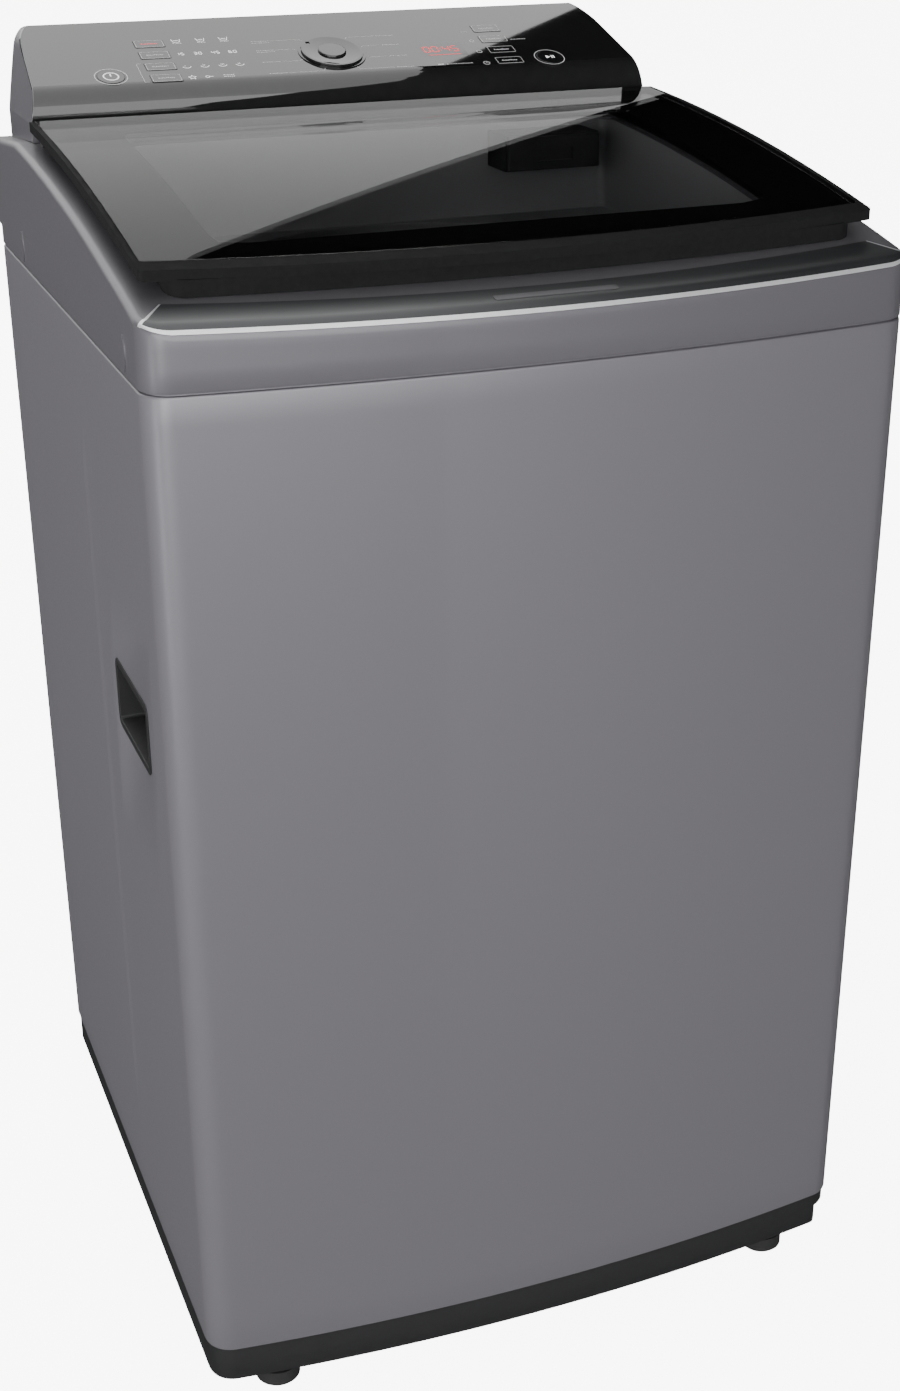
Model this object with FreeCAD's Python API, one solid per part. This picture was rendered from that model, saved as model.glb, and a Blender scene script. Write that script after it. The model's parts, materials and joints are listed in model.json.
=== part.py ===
import FreeCAD, Part
import math
import os

# Top load washing machine, in millimetres. +Z is up, the front faces -Y, and the origin is on the
# floor under the middle of the machine's bounding box.

V = FreeCAD.Vector
X_AXIS, Y_AXIS, Z_AXIS = V(1, 0, 0), V(0, 1, 0), V(0, 0, 1)

# Cabinet
HALF_W = 270.0           # half of the cabinet's width
BACK_Y = 255.8           # back of the cabinet
CORNER_Y = -255.8        # chord of the front, at its two corners
FRONT_Y = -274.6         # middle of the bowed front
EDGE_Y = 274.6           # furthest point behind: the ends of the hose spigots
SHEET = 1.0              # steel sheet
CABINET_Z = 52.0         # lower edge of the steel cabinet
SEAM_Z = 795.6           # where the top cover sits on the cabinet
FRONT_CORNER_R = 22.0
BACK_CORNER_R = 8.0

# Top cover, lid and the curve that both follow in side view
CURVE_BACK = (134.0, 907.0)      # y, z of the lid glass at its rear edge
CURVE_MID = (-46.0, 891.5)
CURVE_FRONT = (-226.0, 861.9)
LID_HEIGHT = 17.5                # lid glass down to the skirt's edge
LID_GAP = 0.4
LIP = 7.5                        # depth of the lid's outer lip
GLASS_T = 4.0
GLASS_HALF_W = 255.0
GLASS_CORNER_Y = -200.5
GLASS_FRONT_Y = -217.5
LIP_OUT = 4.0                    # lip beyond the glass at the sides
LIP_CORNER_Y, LIP_FRONT_Y = -214.0, -231.5
SKIRT_HALF_W = 243.0
SKIRT_CORNER_Y, SKIRT_FRONT_Y = -218.0, -229.0
SKIRT_WALL = 3.0
WINDOW_HALF_W = 200.0
WINDOW_Y = (-176.0, 96.0)
HINGE_Y, HINGE_Z, HINGE_X = 131.0, 897.0, 234.0
PIN_R = 2.5
EAR_R = 4.5
HINGE_EAR_OFFSET = 14.0
RUN = 0.05                       # radial clearance of a running fit
COVER_WALL = 3.0
TRIM_T = 2.0
TRIM_LOW_Z = 830.3
BADGE = (86.0, 7.0)              # blank name plate in the trim
SHOULDER_R = 9.0

# Laundry opening
AXIS_Y = -30.0                   # drum axis
WELL_HALF_W = 214.0
WELL_Y = (-200.0, 128.0)
WELL_FLOOR_Z = 812.0
WELL_FRONT_R, WELL_BACK_R = 28.0, 7.0
MOUTH_R = 156.0
COLLAR_Z = 742.0

# Tub and drum
TUB_R, TUB_WALL = 226.0, 3.0
TUB_Z = (190.0, 700.0)
DRUM_R, DRUM_WALL = 212.0, 1.2
DRUM_Z = (206.0, 688.0)
RING_R = 176.0
PULSATOR_R = 158.0
WASH_SHAFT_R, SPIN_SHAFT_R = 7.0, 14.0
PULLEY_Z = 66.0
DRIVE_PULLEY_R, MOTOR_PULLEY_R = 70.0, 15.0
MOTOR_X = -128.0
BELT_GAP = 0.3
ROD_X, ROD_FRONT_Y, ROD_BACK_Y = 214.0, -216.0, 176.0
ROD_R = 5.0
ROD_SEAT_Z = 762.0
SPRING_Z = (118.0, 198.0)

# Console
PANEL_Y, PANEL_Z, PANEL_TILT = 163.0, 932.0, 20.5    # reference point and slope of the control panel
PANEL_TOP = 92.0                 # length of the panel up its slope
CONSOLE_FRONT_Y = 142.4
KNEE_R = 21.0
CONSOLE_BACK_Y = 266.0
CONSOLE_TOP_Z = 966.0
CONSOLE_HALF_W = (256.0, 243.0)  # at the lid, and at the top
FASCIA_T = 3.0
HOUSING_WALL = 3.0
BUTTON_TRAVEL = 1.2
BUTTON_PROUD = 0.3
BUTTON_GAP = 0.35
OPTION_PITCH, OPTION_W, OPTION_H = 19.0, 24.0, 12.0
OPTION_U = {"left": -146.5, "right": 141.0}
OPTION_V = -5.0                  # lowest row
ROUND_BUTTONS = {"power_button": (-188.5, 1.5), "start_button": (177.5, -3.0)}
ROUND_BUTTON_R = 10.6
KNOB = (-3.5, 22.5)
KNOB_R = 25.0
KNOB_LIFT = 0.6                  # gap under the knob
DISH_T, DISH_HOLLOW_R = 1.8, 270.0
GRIP_R, GRIP_T = 11.5, 2.6
RING_T = 1.8                     # raised ring of the fascia round the knob
DISPLAY = (90.0, 19.0, 40.0, 22.0)
BOARD_DEPTH = 13.0               # control board behind the panel's face

# Feet and base
FOOT_X, FOOT_FRONT_Y, FOOT_BACK_Y = 214.0, -236.0, 205.0
FOOT_R, FOOT_PAD = 17.5, 14.0
STEM_R = 5.0
BASE_RIM = (40.0, 52.0)
BASE_SKIRT_Z = 21.0
BASE_BACK_Z = 11.0
BASE_STEP_Y = 100.0
BASE_INSET = (2.0, 12.0)

# Side handles
HANDLE_Y = (-196.5, -97.0)
HANDLE_Z = (512.0, 566.0)
HANDLE_DEPTH = 34.0
HANDLE_R = 8.0

# Detergent dispenser
DISPENSER_X, DISPENSER_Y, DISPENSER_Z = (110.0, 192.0), (92.0, 190.0), (852.0, 880.0)
DISPENSER_WALL = 2.5
DRAWER_GAP = 0.8

# Water and power connections
SPIGOT_R, SPIGOT_BORE = 13.2, 9.0        # three quarter inch inlet thread
SHOULDER_OUT_R = 16.0
SPIGOT_X = (-40.0, 40.0)                 # hot, cold
SPIGOT_Z = 925.0
BAY_Y = 250.0
BAY_HALF_W, BAY_HALF_H = 76.0, 22.0
DRAIN = (-150.0, 190.0)
DRAIN_R, DRAIN_BORE = 11.0, 8.5
GLAND = (176.0, 130.0)

parts = {}


def block(x0, x1, y0, y1, z0, z1):
    return Part.makeBox(x1 - x0, y1 - y0, z1 - z0, V(x0, y0, z0))


def rod(r, h, at, axis=Z_AXIS):
    return Part.makeCylinder(r, h, V(*at), axis)


def pipe(ro, ri, h, at, axis=Z_AXIS):
    return rod(ro, h, at, axis).cut(rod(ri, h, at, axis))


def fused(shapes):
    shapes = list(shapes)
    return shapes[0].fuse(shapes[1:]).removeSplitter() if len(shapes) > 1 else shapes[0]


def group(shapes):
    return Part.Compound(list(shapes))


def rounded_edges(shape, radius, wanted):
    edges = [e for e in shape.Edges if wanted(e)]
    return shape.makeFillet(radius, edges)


def is_upright(edge):
    a, b = edge.Vertexes[0].Point, edge.Vertexes[-1].Point
    return abs(a.x - b.x) < 1e-6 and abs(a.y - b.y) < 1e-6


def bowed(half, back, corner, middle, z0, z1, front_r, back_r=0.0):
    """Upright solid whose plan has a straight back, straight sides and a bowed front."""
    bl, br = V(-half, back, z0), V(half, back, z0)
    fl, fr = V(-half, corner, z0), V(half, corner, z0)
    edges = [Part.makeLine(bl, br), Part.makeLine(br, fr),
             Part.Arc(fr, V(0, middle, z0), fl).toShape(), Part.makeLine(fl, bl)]
    solid = Part.Face(Part.Wire(edges)).extrude(V(0, 0, z1 - z0))
    if front_r:
        solid = rounded_edges(solid, front_r, lambda e: is_upright(e) and e.CenterOfMass.y < back - 1)
    if back_r:
        solid = rounded_edges(solid, back_r, lambda e: is_upright(e) and e.CenterOfMass.y > back - 1)
    return solid


def cabinet_plan(inset, z0, z1):
    return bowed(HALF_W - inset, BACK_Y - inset, CORNER_Y + inset, FRONT_Y + inset, z0, z1,
                 FRONT_CORNER_R - inset * 0.5, BACK_CORNER_R - inset * 0.3)


def across(points, half):
    """Solid of a side-view outline, from -half to half in X. A triple of points is an arc."""
    edges = []
    for item in points:
        p = [V(-half, y, z) for y, z in item]
        edges.append(Part.makeLine(*p) if len(p) == 2 else Part.Arc(*p).toShape())
    return Part.Face(Part.Wire(edges)).extrude(V(2 * half, 0, 0))


def lowered(point, drop):
    return point[0], point[1] - drop


def curve_z(y):
    """Height of the lid's glass at y: the parabola through the curve's three points."""
    (y0, z0), (y1, z1), (y2, z2) = CURVE_BACK, CURVE_MID, CURVE_FRONT
    a = z0 * (y - y1) * (y - y2) / ((y0 - y1) * (y0 - y2))
    b = z1 * (y - y0) * (y - y2) / ((y1 - y0) * (y1 - y2))
    c = z2 * (y - y0) * (y - y1) / ((y2 - y0) * (y2 - y1))
    return a + b + c


def under_curve(drop, floor, half=300.0, y_front=-290.0, y_back=150.0):
    """Everything below the lid's curve lowered by drop, down to a floor height."""
    front, back = (y_front, curve_z(y_front) - drop), (y_back, curve_z(y_back) - drop)
    middle = lowered(CURVE_MID, drop)
    outline = [[front, middle, back], [back, (y_back, floor)],
               [(y_back, floor), (y_front, floor)], [(y_front, floor), front]]
    return across(outline, half)


def band(top, bottom):
    """The layer between two depths under the lid's curve."""
    return under_curve(top, 700.0).cut(under_curve(bottom, 690.0))


def on_panel(shape):
    place = FreeCAD.Placement(V(0, PANEL_Y, PANEL_Z), FreeCAD.Rotation(X_AXIS, PANEL_TILT))
    return shape.transformed(place.toMatrix())


def panel_box(u, v, w, h, z0, z1, r=0.0):
    box = block(u - w / 2, u + w / 2, v - h / 2, v + h / 2, z0, z1)
    return rounded_edges(box, r, is_upright) if r else box


def mirrored(shape):
    return shape.mirror(V(0, 0, 0), X_AXIS)


def both_sides(shape):
    return group([shape, mirrored(shape)])


# ---------------------------------------------------------------- cabinet

def handle_opening(side, grow=0.0):
    y0, y1 = HANDLE_Y
    z0, z1 = HANDLE_Z
    x = sorted((side * (HALF_W - 30.0), side * (HALF_W + 5.0)))
    box = block(x[0], x[1], y0 - grow, y1 + grow, z0 - grow, z1 + grow)
    return rounded_edges(box, HANDLE_R + grow, lambda e: abs(e.tangentAt(e.FirstParameter).x) > 0.99)


def rod_bracket(x, y):
    """Welded corner bracket with the ball seat of a suspension rod."""
    wall = math.copysign(HALF_W - SHEET / 2, x)
    arm = block(min(x, wall), max(x, wall), y - 18, y + 18, ROD_SEAT_Z - 4, ROD_SEAT_Z)
    bracket = arm.fuse(rod(18.0, 4.0, (x, y, ROD_SEAT_Z - 4)))
    return bracket.cut(rod(ROD_R + 0.6, 40, (x, y, ROD_SEAT_Z - 20)))


def make_cabinet():
    shell = cabinet_plan(0, CABINET_Z, SEAM_Z).cut(cabinet_plan(SHEET, CABINET_Z - 1, SEAM_Z + 1))
    flange = 18.0
    shell = shell.cut(block(-HALF_W + flange, HALF_W - flange, BACK_Y - 10, BACK_Y + 5, 0, 1000))
    top_flange = cabinet_plan(SHEET, SEAM_Z - SHEET, SEAM_Z).cut(cabinet_plan(14.0, SEAM_Z - 5, SEAM_Z + 5))
    top_flange = top_flange.cut(block(-300, 300, BACK_Y - 13.5, BACK_Y + 5, 700, 900))
    shell = shell.fuse(top_flange)
    for side in (-1, 1):
        shell = shell.cut(handle_opening(side, -3.0))
    shell = shell.fuse([rod_bracket(x, y) for x in (-ROD_X, ROD_X) for y in (ROD_FRONT_Y, ROD_BACK_Y)])
    parts["cabinet"] = shell.removeSplitter()


def make_rear_panel():
    y0, y1 = BACK_Y - 2 * SHEET, BACK_Y - SHEET
    half = HALF_W - 9.0
    sheet = block(-half, half, y0, y1, CABINET_Z + 16.5, SEAM_Z - 1.5)
    holes = [rod(DRAIN_R + 3, 20, (DRAIN[0], y0 - 5, DRAIN[1]), Y_AXIS),
             rod(8.0, 20, (GLAND[0], y0 - 5, GLAND[1]), Y_AXIS)]
    for row in range(7):
        for column in (-1, 1):
            x = column * 60.0
            z = 560.0 + 18.0 * row
            holes.append(block(x - 40, x + 40, y0 - 2, y1 + 2, z, z + 6))
    parts["rear_panel"] = sheet.cut(group(holes))
    screws = []
    for x in (-HALF_W + 13.0, HALF_W - 13.0):
        for z in (80.0, 300.0, 540.0, 770.0):
            head = rod(4.5, 2.4, (x, BACK_Y, z), Y_AXIS)
            slot = block(x - 3, x + 3, BACK_Y + 1.4, BACK_Y + 3, z - 0.6, z + 0.6)
            screws.append(head.cut(slot))
    parts["rear_panel_screws"] = group(screws)


# ---------------------------------------------------------------- base and feet

def base_plan(inset, z0, z1):
    return cabinet_plan(inset, z0, z1)


def make_base():
    rim = base_plan(BASE_INSET[0], *BASE_RIM)
    tongue = base_plan(SHEET + 0.6, BASE_RIM[1], BASE_RIM[1] + 16)
    skirt = base_plan(BASE_INSET[1], BASE_SKIRT_Z, BASE_RIM[0])
    back_skirt = base_plan(BASE_INSET[1], BASE_BACK_Z, BASE_RIM[0])
    back_skirt = back_skirt.common(block(-300, 300, BASE_STEP_Y, 300, 0, 60))
    outer = fused([rim, tongue, skirt, back_skirt])
    inner = base_plan(BASE_INSET[1] + 4, 0, BASE_RIM[1] + 40)
    shell = outer.cut(inner)
    pads = []
    for x in (-FOOT_X, FOOT_X):
        for y in (FOOT_FRONT_Y, FOOT_BACK_Y):
            arm = block(x - 34, x + 34, y - 32, y + 32, 36, 44)
            boss = rod(12.0, 48.0, (x, y, 18.0))
            pads.append(arm.fuse(boss))
    outline = base_plan(BASE_INSET[1] + 0.5, 0, 200)
    pads = [p.common(outline) for p in pads]
    rib = [block(-HALF_W + 15, HALF_W - 15, y - 3, y + 3, 30, 44) for y in (-190.0, 178.0)]
    frame = fused([shell] + pads + rib)
    for x in (-FOOT_X, FOOT_X):
        for y in (FOOT_FRONT_Y, FOOT_BACK_Y):
            frame = frame.cut(rod(STEM_R + RUN, 70.0, (x, y, 0.0)))
    parts["base_frame"] = frame


def foot(x, y):
    pad = rod(FOOT_R, FOOT_PAD, (x, y, 0))
    pad = pad.makeChamfer(2.0, [e for e in pad.Edges if abs(e.CenterOfMass.z) < 0.1 and e.Closed])
    nut = Part.Face(Part.makePolygon([V(x + 9 * math.cos(math.radians(60 * k)),
                                        y + 9 * math.sin(math.radians(60 * k)), FOOT_PAD)
                                      for k in range(7)])).extrude(V(0, 0, 3.6))
    stem = rod(STEM_R, 46.0, (x, y, FOOT_PAD))
    return fused([pad, nut, stem])


def make_feet():
    parts["foot_front_left"] = foot(-FOOT_X, FOOT_FRONT_Y)
    parts["foot_front_right"] = foot(FOOT_X, FOOT_FRONT_Y)
    parts["rear_feet"] = group([foot(-FOOT_X, FOOT_BACK_Y), foot(FOOT_X, FOOT_BACK_Y)])


# ---------------------------------------------------------------- side handles

def side_handle(side):
    y0, y1 = HANDLE_Y
    z0, z1 = HANDLE_Z
    deep = HALF_W - HANDLE_DEPTH

    def spread(a, b, inset):
        x = sorted((side * a, side * b))
        box = block(x[0], x[1], y0 + inset, y1 - inset, z0 + inset, z1 - inset)
        return rounded_edges(box, HANDLE_R - inset, lambda e: abs(e.tangentAt(e.FirstParameter).x) > 0.99)

    flange = spread(HALF_W, HALF_W + 0.8, 0.0)
    cup = spread(deep - 2.5, HALF_W, 3.3)
    pocket = spread(deep, HALF_W + 2, 5.5)
    return flange.fuse(cup).cut(pocket).removeSplitter()


# ---------------------------------------------------------------- top cover and trim

def cover_outside(drop, inset):
    """The top cover's outside: the cabinet's plan under the deck curve, with a rear slope."""
    plan = cabinet_plan(inset, SEAM_Z, 940.0)
    rear = bowed(HALF_W - inset, 280.0, CORNER_Y + inset, FRONT_Y + inset, SEAM_Z, 940.0, FRONT_CORNER_R)
    body = plan.fuse(rear.common(block(-300, 300, 200, CONSOLE_BACK_Y - inset, 812.0 + drop, 940)))
    top_front = under_curve(LID_HEIGHT + LID_GAP + drop, 700.0)
    deck_z = curve_z(150.0) - LID_HEIGHT - LID_GAP - drop
    outline = [[(150.0, deck_z), (290.0, deck_z - 13.0)], [(290.0, deck_z - 13.0), (290.0, 700.0)],
               [(290.0, 700.0), (150.0, 700.0)], [(150.0, 700.0), (150.0, deck_z)]]
    return body.common(top_front.fuse(across(outline, 300.0)))


def trim_zone(back_shift=0.0):
    """In front of the trim's rear line and above its lower rim."""
    line = bowed(252.0, -200.0 + back_shift, -224.0 + back_shift, -246.0 + back_shift, 700.0, 900.0, 0.0)
    return block(-252, 252, -300, -200, TRIM_LOW_Z, 900.0).cut(line)


def top_edges(reach):
    """Picks the edges round the front and sides of the deck."""
    def wanted(e):
        p = e.CenterOfMass
        ends = [v.Point for v in e.Vertexes]
        if is_upright(e) or p.z < 826.0 or min(q.z for q in ends) < 815.0:
            return False
        outer = all(abs(q.x) > HALF_W - reach or q.y < CORNER_Y + reach for q in ends)
        return outer and max(q.z for q in ends) < 925.0 and p.y < 262.0
    return wanted


def well_space(grow):
    """The space over the laundry mouth, with larger round corners in front."""
    x0, x1 = -WELL_HALF_W - grow, WELL_HALF_W + grow
    y0, y1 = WELL_Y
    well = block(x0, x1, y0 - grow, y1 + grow, WELL_FLOOR_Z - grow, 950.0)
    well = rounded_edges(well, WELL_FRONT_R + grow, lambda e: is_upright(e) and e.CenterOfMass.y < 0)
    return rounded_edges(well, WELL_BACK_R + grow, lambda e: is_upright(e) and e.CenterOfMass.y > 120)


def make_top_cover():
    outside = rounded_edges(cover_outside(0.0, 0.0), SHOULDER_R, top_edges(26.0))
    inside = rounded_edges(cover_outside(COVER_WALL, COVER_WALL), SHOULDER_R - COVER_WALL, top_edges(30.0))
    well, mouth = well_space(0.0), rod(MOUTH_R, 260.0, (0, AXIS_Y, 700.0))
    cover = outside.cut(inside).cut(well)
    parts["well_liner"] = well_space(COVER_WALL).common(inside).cut(well).cut(mouth)
    parts["mouth_collar"] = pipe(MOUTH_R + COVER_WALL, MOUTH_R, WELL_FLOOR_Z - COVER_WALL - COLLAR_Z,
                                 (0, AXIS_Y, COLLAR_Z))
    zone = outside.common(trim_zone())
    trim = zone.cut(zone.translated(V(0, TRIM_T, -TRIM_T)))
    badge = rounded_edges(block(-BADGE[0] / 2, BADGE[0] / 2, -262, -256, 831.5, 841), 1.5, is_upright)
    badge = badge.common(outside.translated(V(0, -0.4, 0.9)))
    parts["front_trim"] = trim.cut(badge)
    parts["front_badge"] = badge
    cover = cover.cut(trim).cut(badge)
    caps = []
    for y in (-205.0, 150.0):
        cap = Part.makeCylinder(6.0, 1.4, V(0, 0, 0), X_AXIS)
        stretch = FreeCAD.Matrix()
        stretch.A33 = 2.0
        caps.append(cap.transformGeometry(stretch).translated(V(HALF_W - 0.7, y, SEAM_Z + 16.0)))
    caps = group(caps)
    parts["screw_caps"] = both_sides(caps)
    parts["top_cover"] = cover.cut(parts["screw_caps"])


# ---------------------------------------------------------------- lid

def lid_plan(half, rear, corner_y, front_y, r=4.0):
    return bowed(half, rear, corner_y, front_y, 700.0, 960.0, r)


def make_lid():
    rear = CURVE_BACK[0]
    glass_plan = lid_plan(GLASS_HALF_W, rear, GLASS_CORNER_Y, GLASS_FRONT_Y)
    glass = band(0.0, GLASS_T).common(glass_plan)
    parts["lid_glass"] = glass
    lip_plan = lid_plan(GLASS_HALF_W + LIP_OUT, rear + 0.6, LIP_CORNER_Y, LIP_FRONT_Y)
    lip = band(0.4, LIP).common(lip_plan)
    skirt_end = HINGE_Y - 13.0
    skirt_plan = lid_plan(SKIRT_HALF_W, skirt_end, SKIRT_CORNER_Y, SKIRT_FRONT_Y, 14.0)
    skirt_inner = lid_plan(SKIRT_HALF_W - SKIRT_WALL, skirt_end + 9.0, SKIRT_CORNER_Y + SKIRT_WALL,
                           SKIRT_FRONT_Y + SKIRT_WALL, 11.0)
    skirt = band(LIP - 1.0, LID_HEIGHT).common(skirt_plan).cut(skirt_inner)
    frame = lip.fuse(skirt)
    frame = frame.cut(under_curve(-20.0, 700.0).common(glass_plan).cut(under_curve(GLASS_T, 690.0)))
    window = block(-WINDOW_HALF_W - 12, WINDOW_HALF_W + 12, WINDOW_Y[0] - 10, WINDOW_Y[1] + 10, 700, 960)
    frame = frame.cut(rounded_edges(window, 18.0, is_upright))
    arms, pins, ears = [], [], []
    for side in (-1, 1):
        x = side * HINGE_X
        arm = rod(EAR_R, 18.0, (x - 9, HINGE_Y, HINGE_Z), X_AXIS)
        arms.append(arm.fuse(block(x - 9, x + 9, HINGE_Y - EAR_R, HINGE_Y + 2.4, HINGE_Z, HINGE_Z + 8)))
        pins.append(rod(PIN_R, 36.0, (x - 18, HINGE_Y, HINGE_Z), X_AXIS))
        ears += [block(x + k - 5, x + k + 5, HINGE_Y - 6, HINGE_Y + 6, HINGE_Z - 20, HINGE_Z + 5.2)
                 for k in (-HINGE_EAR_OFFSET, HINGE_EAR_OFFSET)]
    arms = [a.common(under_curve(GLASS_T, 700.0)).cut(group(pins)) for a in arms]
    frame = fused([frame.cut(group(ears))] + arms)
    parts["lid_hinge_pins"] = group(pins)
    bumper_y = -196.0
    lip_z = curve_z(bumper_y) - LIP
    bumpers = [rod(4.0, 8.0, (x, bumper_y, lip_z - 7.0)).cut(frame) for x in (-222.0, 222.0)]
    parts["lid_bumpers"] = group(bumpers)
    striker = block(196.0, 212.0, -205.0, -199.5, lip_z - 8.0, lip_z + 1.0)
    parts["lid_frame"] = frame.fuse(striker).cut(group(pins))


def make_hinge_brackets():
    brackets = []
    base_z = curve_z(HINGE_Y) - LID_HEIGHT - LID_GAP - 2.0
    for side in (-1, 1):
        for offset in (-HINGE_EAR_OFFSET, HINGE_EAR_OFFSET):
            x = side * HINGE_X + offset
            ear = block(x - 4, x + 4, HINGE_Y - EAR_R, HINGE_Y + EAR_R, base_z, HINGE_Z)
            ear = ear.fuse(rod(EAR_R, 8.0, (x - 4, HINGE_Y, HINGE_Z), X_AXIS))
            brackets.append(ear.cut(rod(PIN_R + RUN, 20, (x - 10, HINGE_Y, HINGE_Z), X_AXIS)))
    parts["lid_hinge_brackets"] = group(brackets)
    parts["top_cover"] = parts["top_cover"].cut(parts["lid_hinge_brackets"])


# ---------------------------------------------------------------- console

def console_outline(grow=0.0):
    """Front view of the console: sides that lean in, and round top corners."""
    low, high = CONSOLE_HALF_W
    z_low, z_high = 903.0, CONSOLE_TOP_Z + grow
    points = [V(-low - grow, -400, 840), V(-low - grow, -400, z_low), V(-high - grow, -400, z_high),
              V(high + grow, -400, z_high), V(low + grow, -400, z_low), V(low + grow, -400, 840)]
    solid = Part.Face(Part.makePolygon(points + points[:1])).extrude(V(0, 800, 0))

    def is_top_corner(e):
        p = e.CenterOfMass
        return abs(e.tangentAt(e.FirstParameter).y) > 0.99 and p.z > z_high - 1.0
    return rounded_edges(solid, 20.0, is_top_corner)


def panel_point(v, w):
    t = math.radians(PANEL_TILT)
    return (PANEL_Y + v * math.cos(t) - w * math.sin(t), PANEL_Z + v * math.sin(t) + w * math.cos(t))


def console_profile(inset, front_inset, floor):
    """Side view of the console: upright nose, round knee, sloping panel and round top."""
    front = CONSOLE_FRONT_Y + front_inset
    w = -front_inset
    tilt = math.radians(PANEL_TILT)
    corner_v = (front - PANEL_Y + w * math.sin(tilt)) / math.cos(tilt)
    radius = KNEE_R - front_inset
    run_in = radius * math.tan((math.pi / 2 - tilt) / 2)
    nose = (front, panel_point(corner_v, w)[1] - run_in)
    middle = math.pi - (math.pi / 2 - tilt) / 2
    knee_mid = (front + radius + radius * math.cos(middle), nose[1] + radius * math.sin(middle))
    knee_end, top = panel_point(corner_v + run_in, w), panel_point(PANEL_TOP, w)
    back = CONSOLE_BACK_Y - inset
    shoulder, back_top = (back - 8.0, CONSOLE_TOP_Z - 2.6 - inset), (back, CONSOLE_TOP_Z - 12.0)
    return across([[(front, floor), nose], [nose, knee_mid, knee_end], [knee_end, top],
                   [top, shoulder, back_top], [back_top, (back, floor)], [(back, floor), (front, floor)]], 300.0)


def spaced_options():
    for side, u in OPTION_U.items():
        for row in range(4):
            yield "option_button_%s_%d" % (side, row + 1), u, OPTION_V + OPTION_PITCH * row


def rear_plan(inset):
    """Plan of the console housing, with large round corners behind."""
    half = CONSOLE_HALF_W[0] + 4.0
    box = block(-half + inset, half - inset, 100, CONSOLE_BACK_Y - inset, 800, 1000)
    return rounded_edges(box, 40.0 - inset, lambda e: is_upright(e) and e.CenterOfMass.y > 200)


def make_console():
    outline = console_outline()
    nose_floor = curve_z(140.0) - LID_HEIGHT - LID_GAP + 12.0
    skin = console_profile(0.0, 0.0, nose_floor)
    core = console_profile(0.0, FASCIA_T, 860.0)
    front_zone = block(-300, 300, 100, panel_point(PANEL_TOP, 0.0)[0], 800, 1000)
    fascia = skin.cut(core).common(outline).common(front_zone)
    lower_body = cover_outside(0.0, 0.0)
    lower_body = lower_body.fuse(block(-300, 300, 130, 300, 700, 880))
    housing = core.common(console_outline(-0.4)).cut(fascia).cut(lower_body)
    housing = housing.common(rear_plan(0.0))
    cavity = console_profile(HOUSING_WALL, FASCIA_T + HOUSING_WALL, 860.0).common(console_outline(-3.4))
    cavity = cavity.common(rear_plan(HOUSING_WALL))
    bay_z = (SPIGOT_Z - BAY_HALF_H, SPIGOT_Z + BAY_HALF_H)
    bay_wall = block(-BAY_HALF_W - 2.5, BAY_HALF_W + 2.5, BAY_Y - 2.5, 300, bay_z[0] - 2.5, bay_z[1] + 2.5)
    bay = block(-BAY_HALF_W, BAY_HALF_W, BAY_Y, 300, bay_z[0], bay_z[1])
    shell = housing.cut(cavity)
    housing = shell.fuse(bay_wall.common(housing)).cut(bay)
    window = on_panel(panel_box(0.0, 23.0, 440.0, 82.0, -9.0, -2.0, 4.0))
    spigots = group([rod(SHOULDER_OUT_R + 0.4, 30, (x, 240, SPIGOT_Z), Y_AXIS) for x in SPIGOT_X])
    housing = housing.cut(window).cut(spigots)

    u, v, w, h = DISPLAY
    cuts = [panel_box(u, v, w, h, -1.2, 5.0, 2.0), panel_box(u, v, w - 6, h - 6, -9.0, 5.0, 1.0),
            rod(6.0, 20.0, (KNOB[0], KNOB[1], -12.0))]
    for bu, bv in ROUND_BUTTONS.values():
        cuts.append(rod(ROUND_BUTTON_R + BUTTON_GAP, 20.0, (bu, bv, -12.0)))
    for _, bu, bv in spaced_options():
        cuts.append(panel_box(bu, bv, OPTION_W + 2 * BUTTON_GAP, OPTION_H + 2 * BUTTON_GAP, -12.0, 8.0, 1.3))
    fascia = fascia.cut(on_panel(group(cuts)))
    parts["console_housing"] = housing
    ring = pipe(KNOB_R + 2.6, KNOB_R + 0.5, RING_T, (KNOB[0], KNOB[1], -1.0))
    parts["console_fascia"] = fascia.fuse(on_panel(ring))
    parts["display_window"] = on_panel(panel_box(u, v, w, h, -1.2, 0.0, 2.0))


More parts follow.
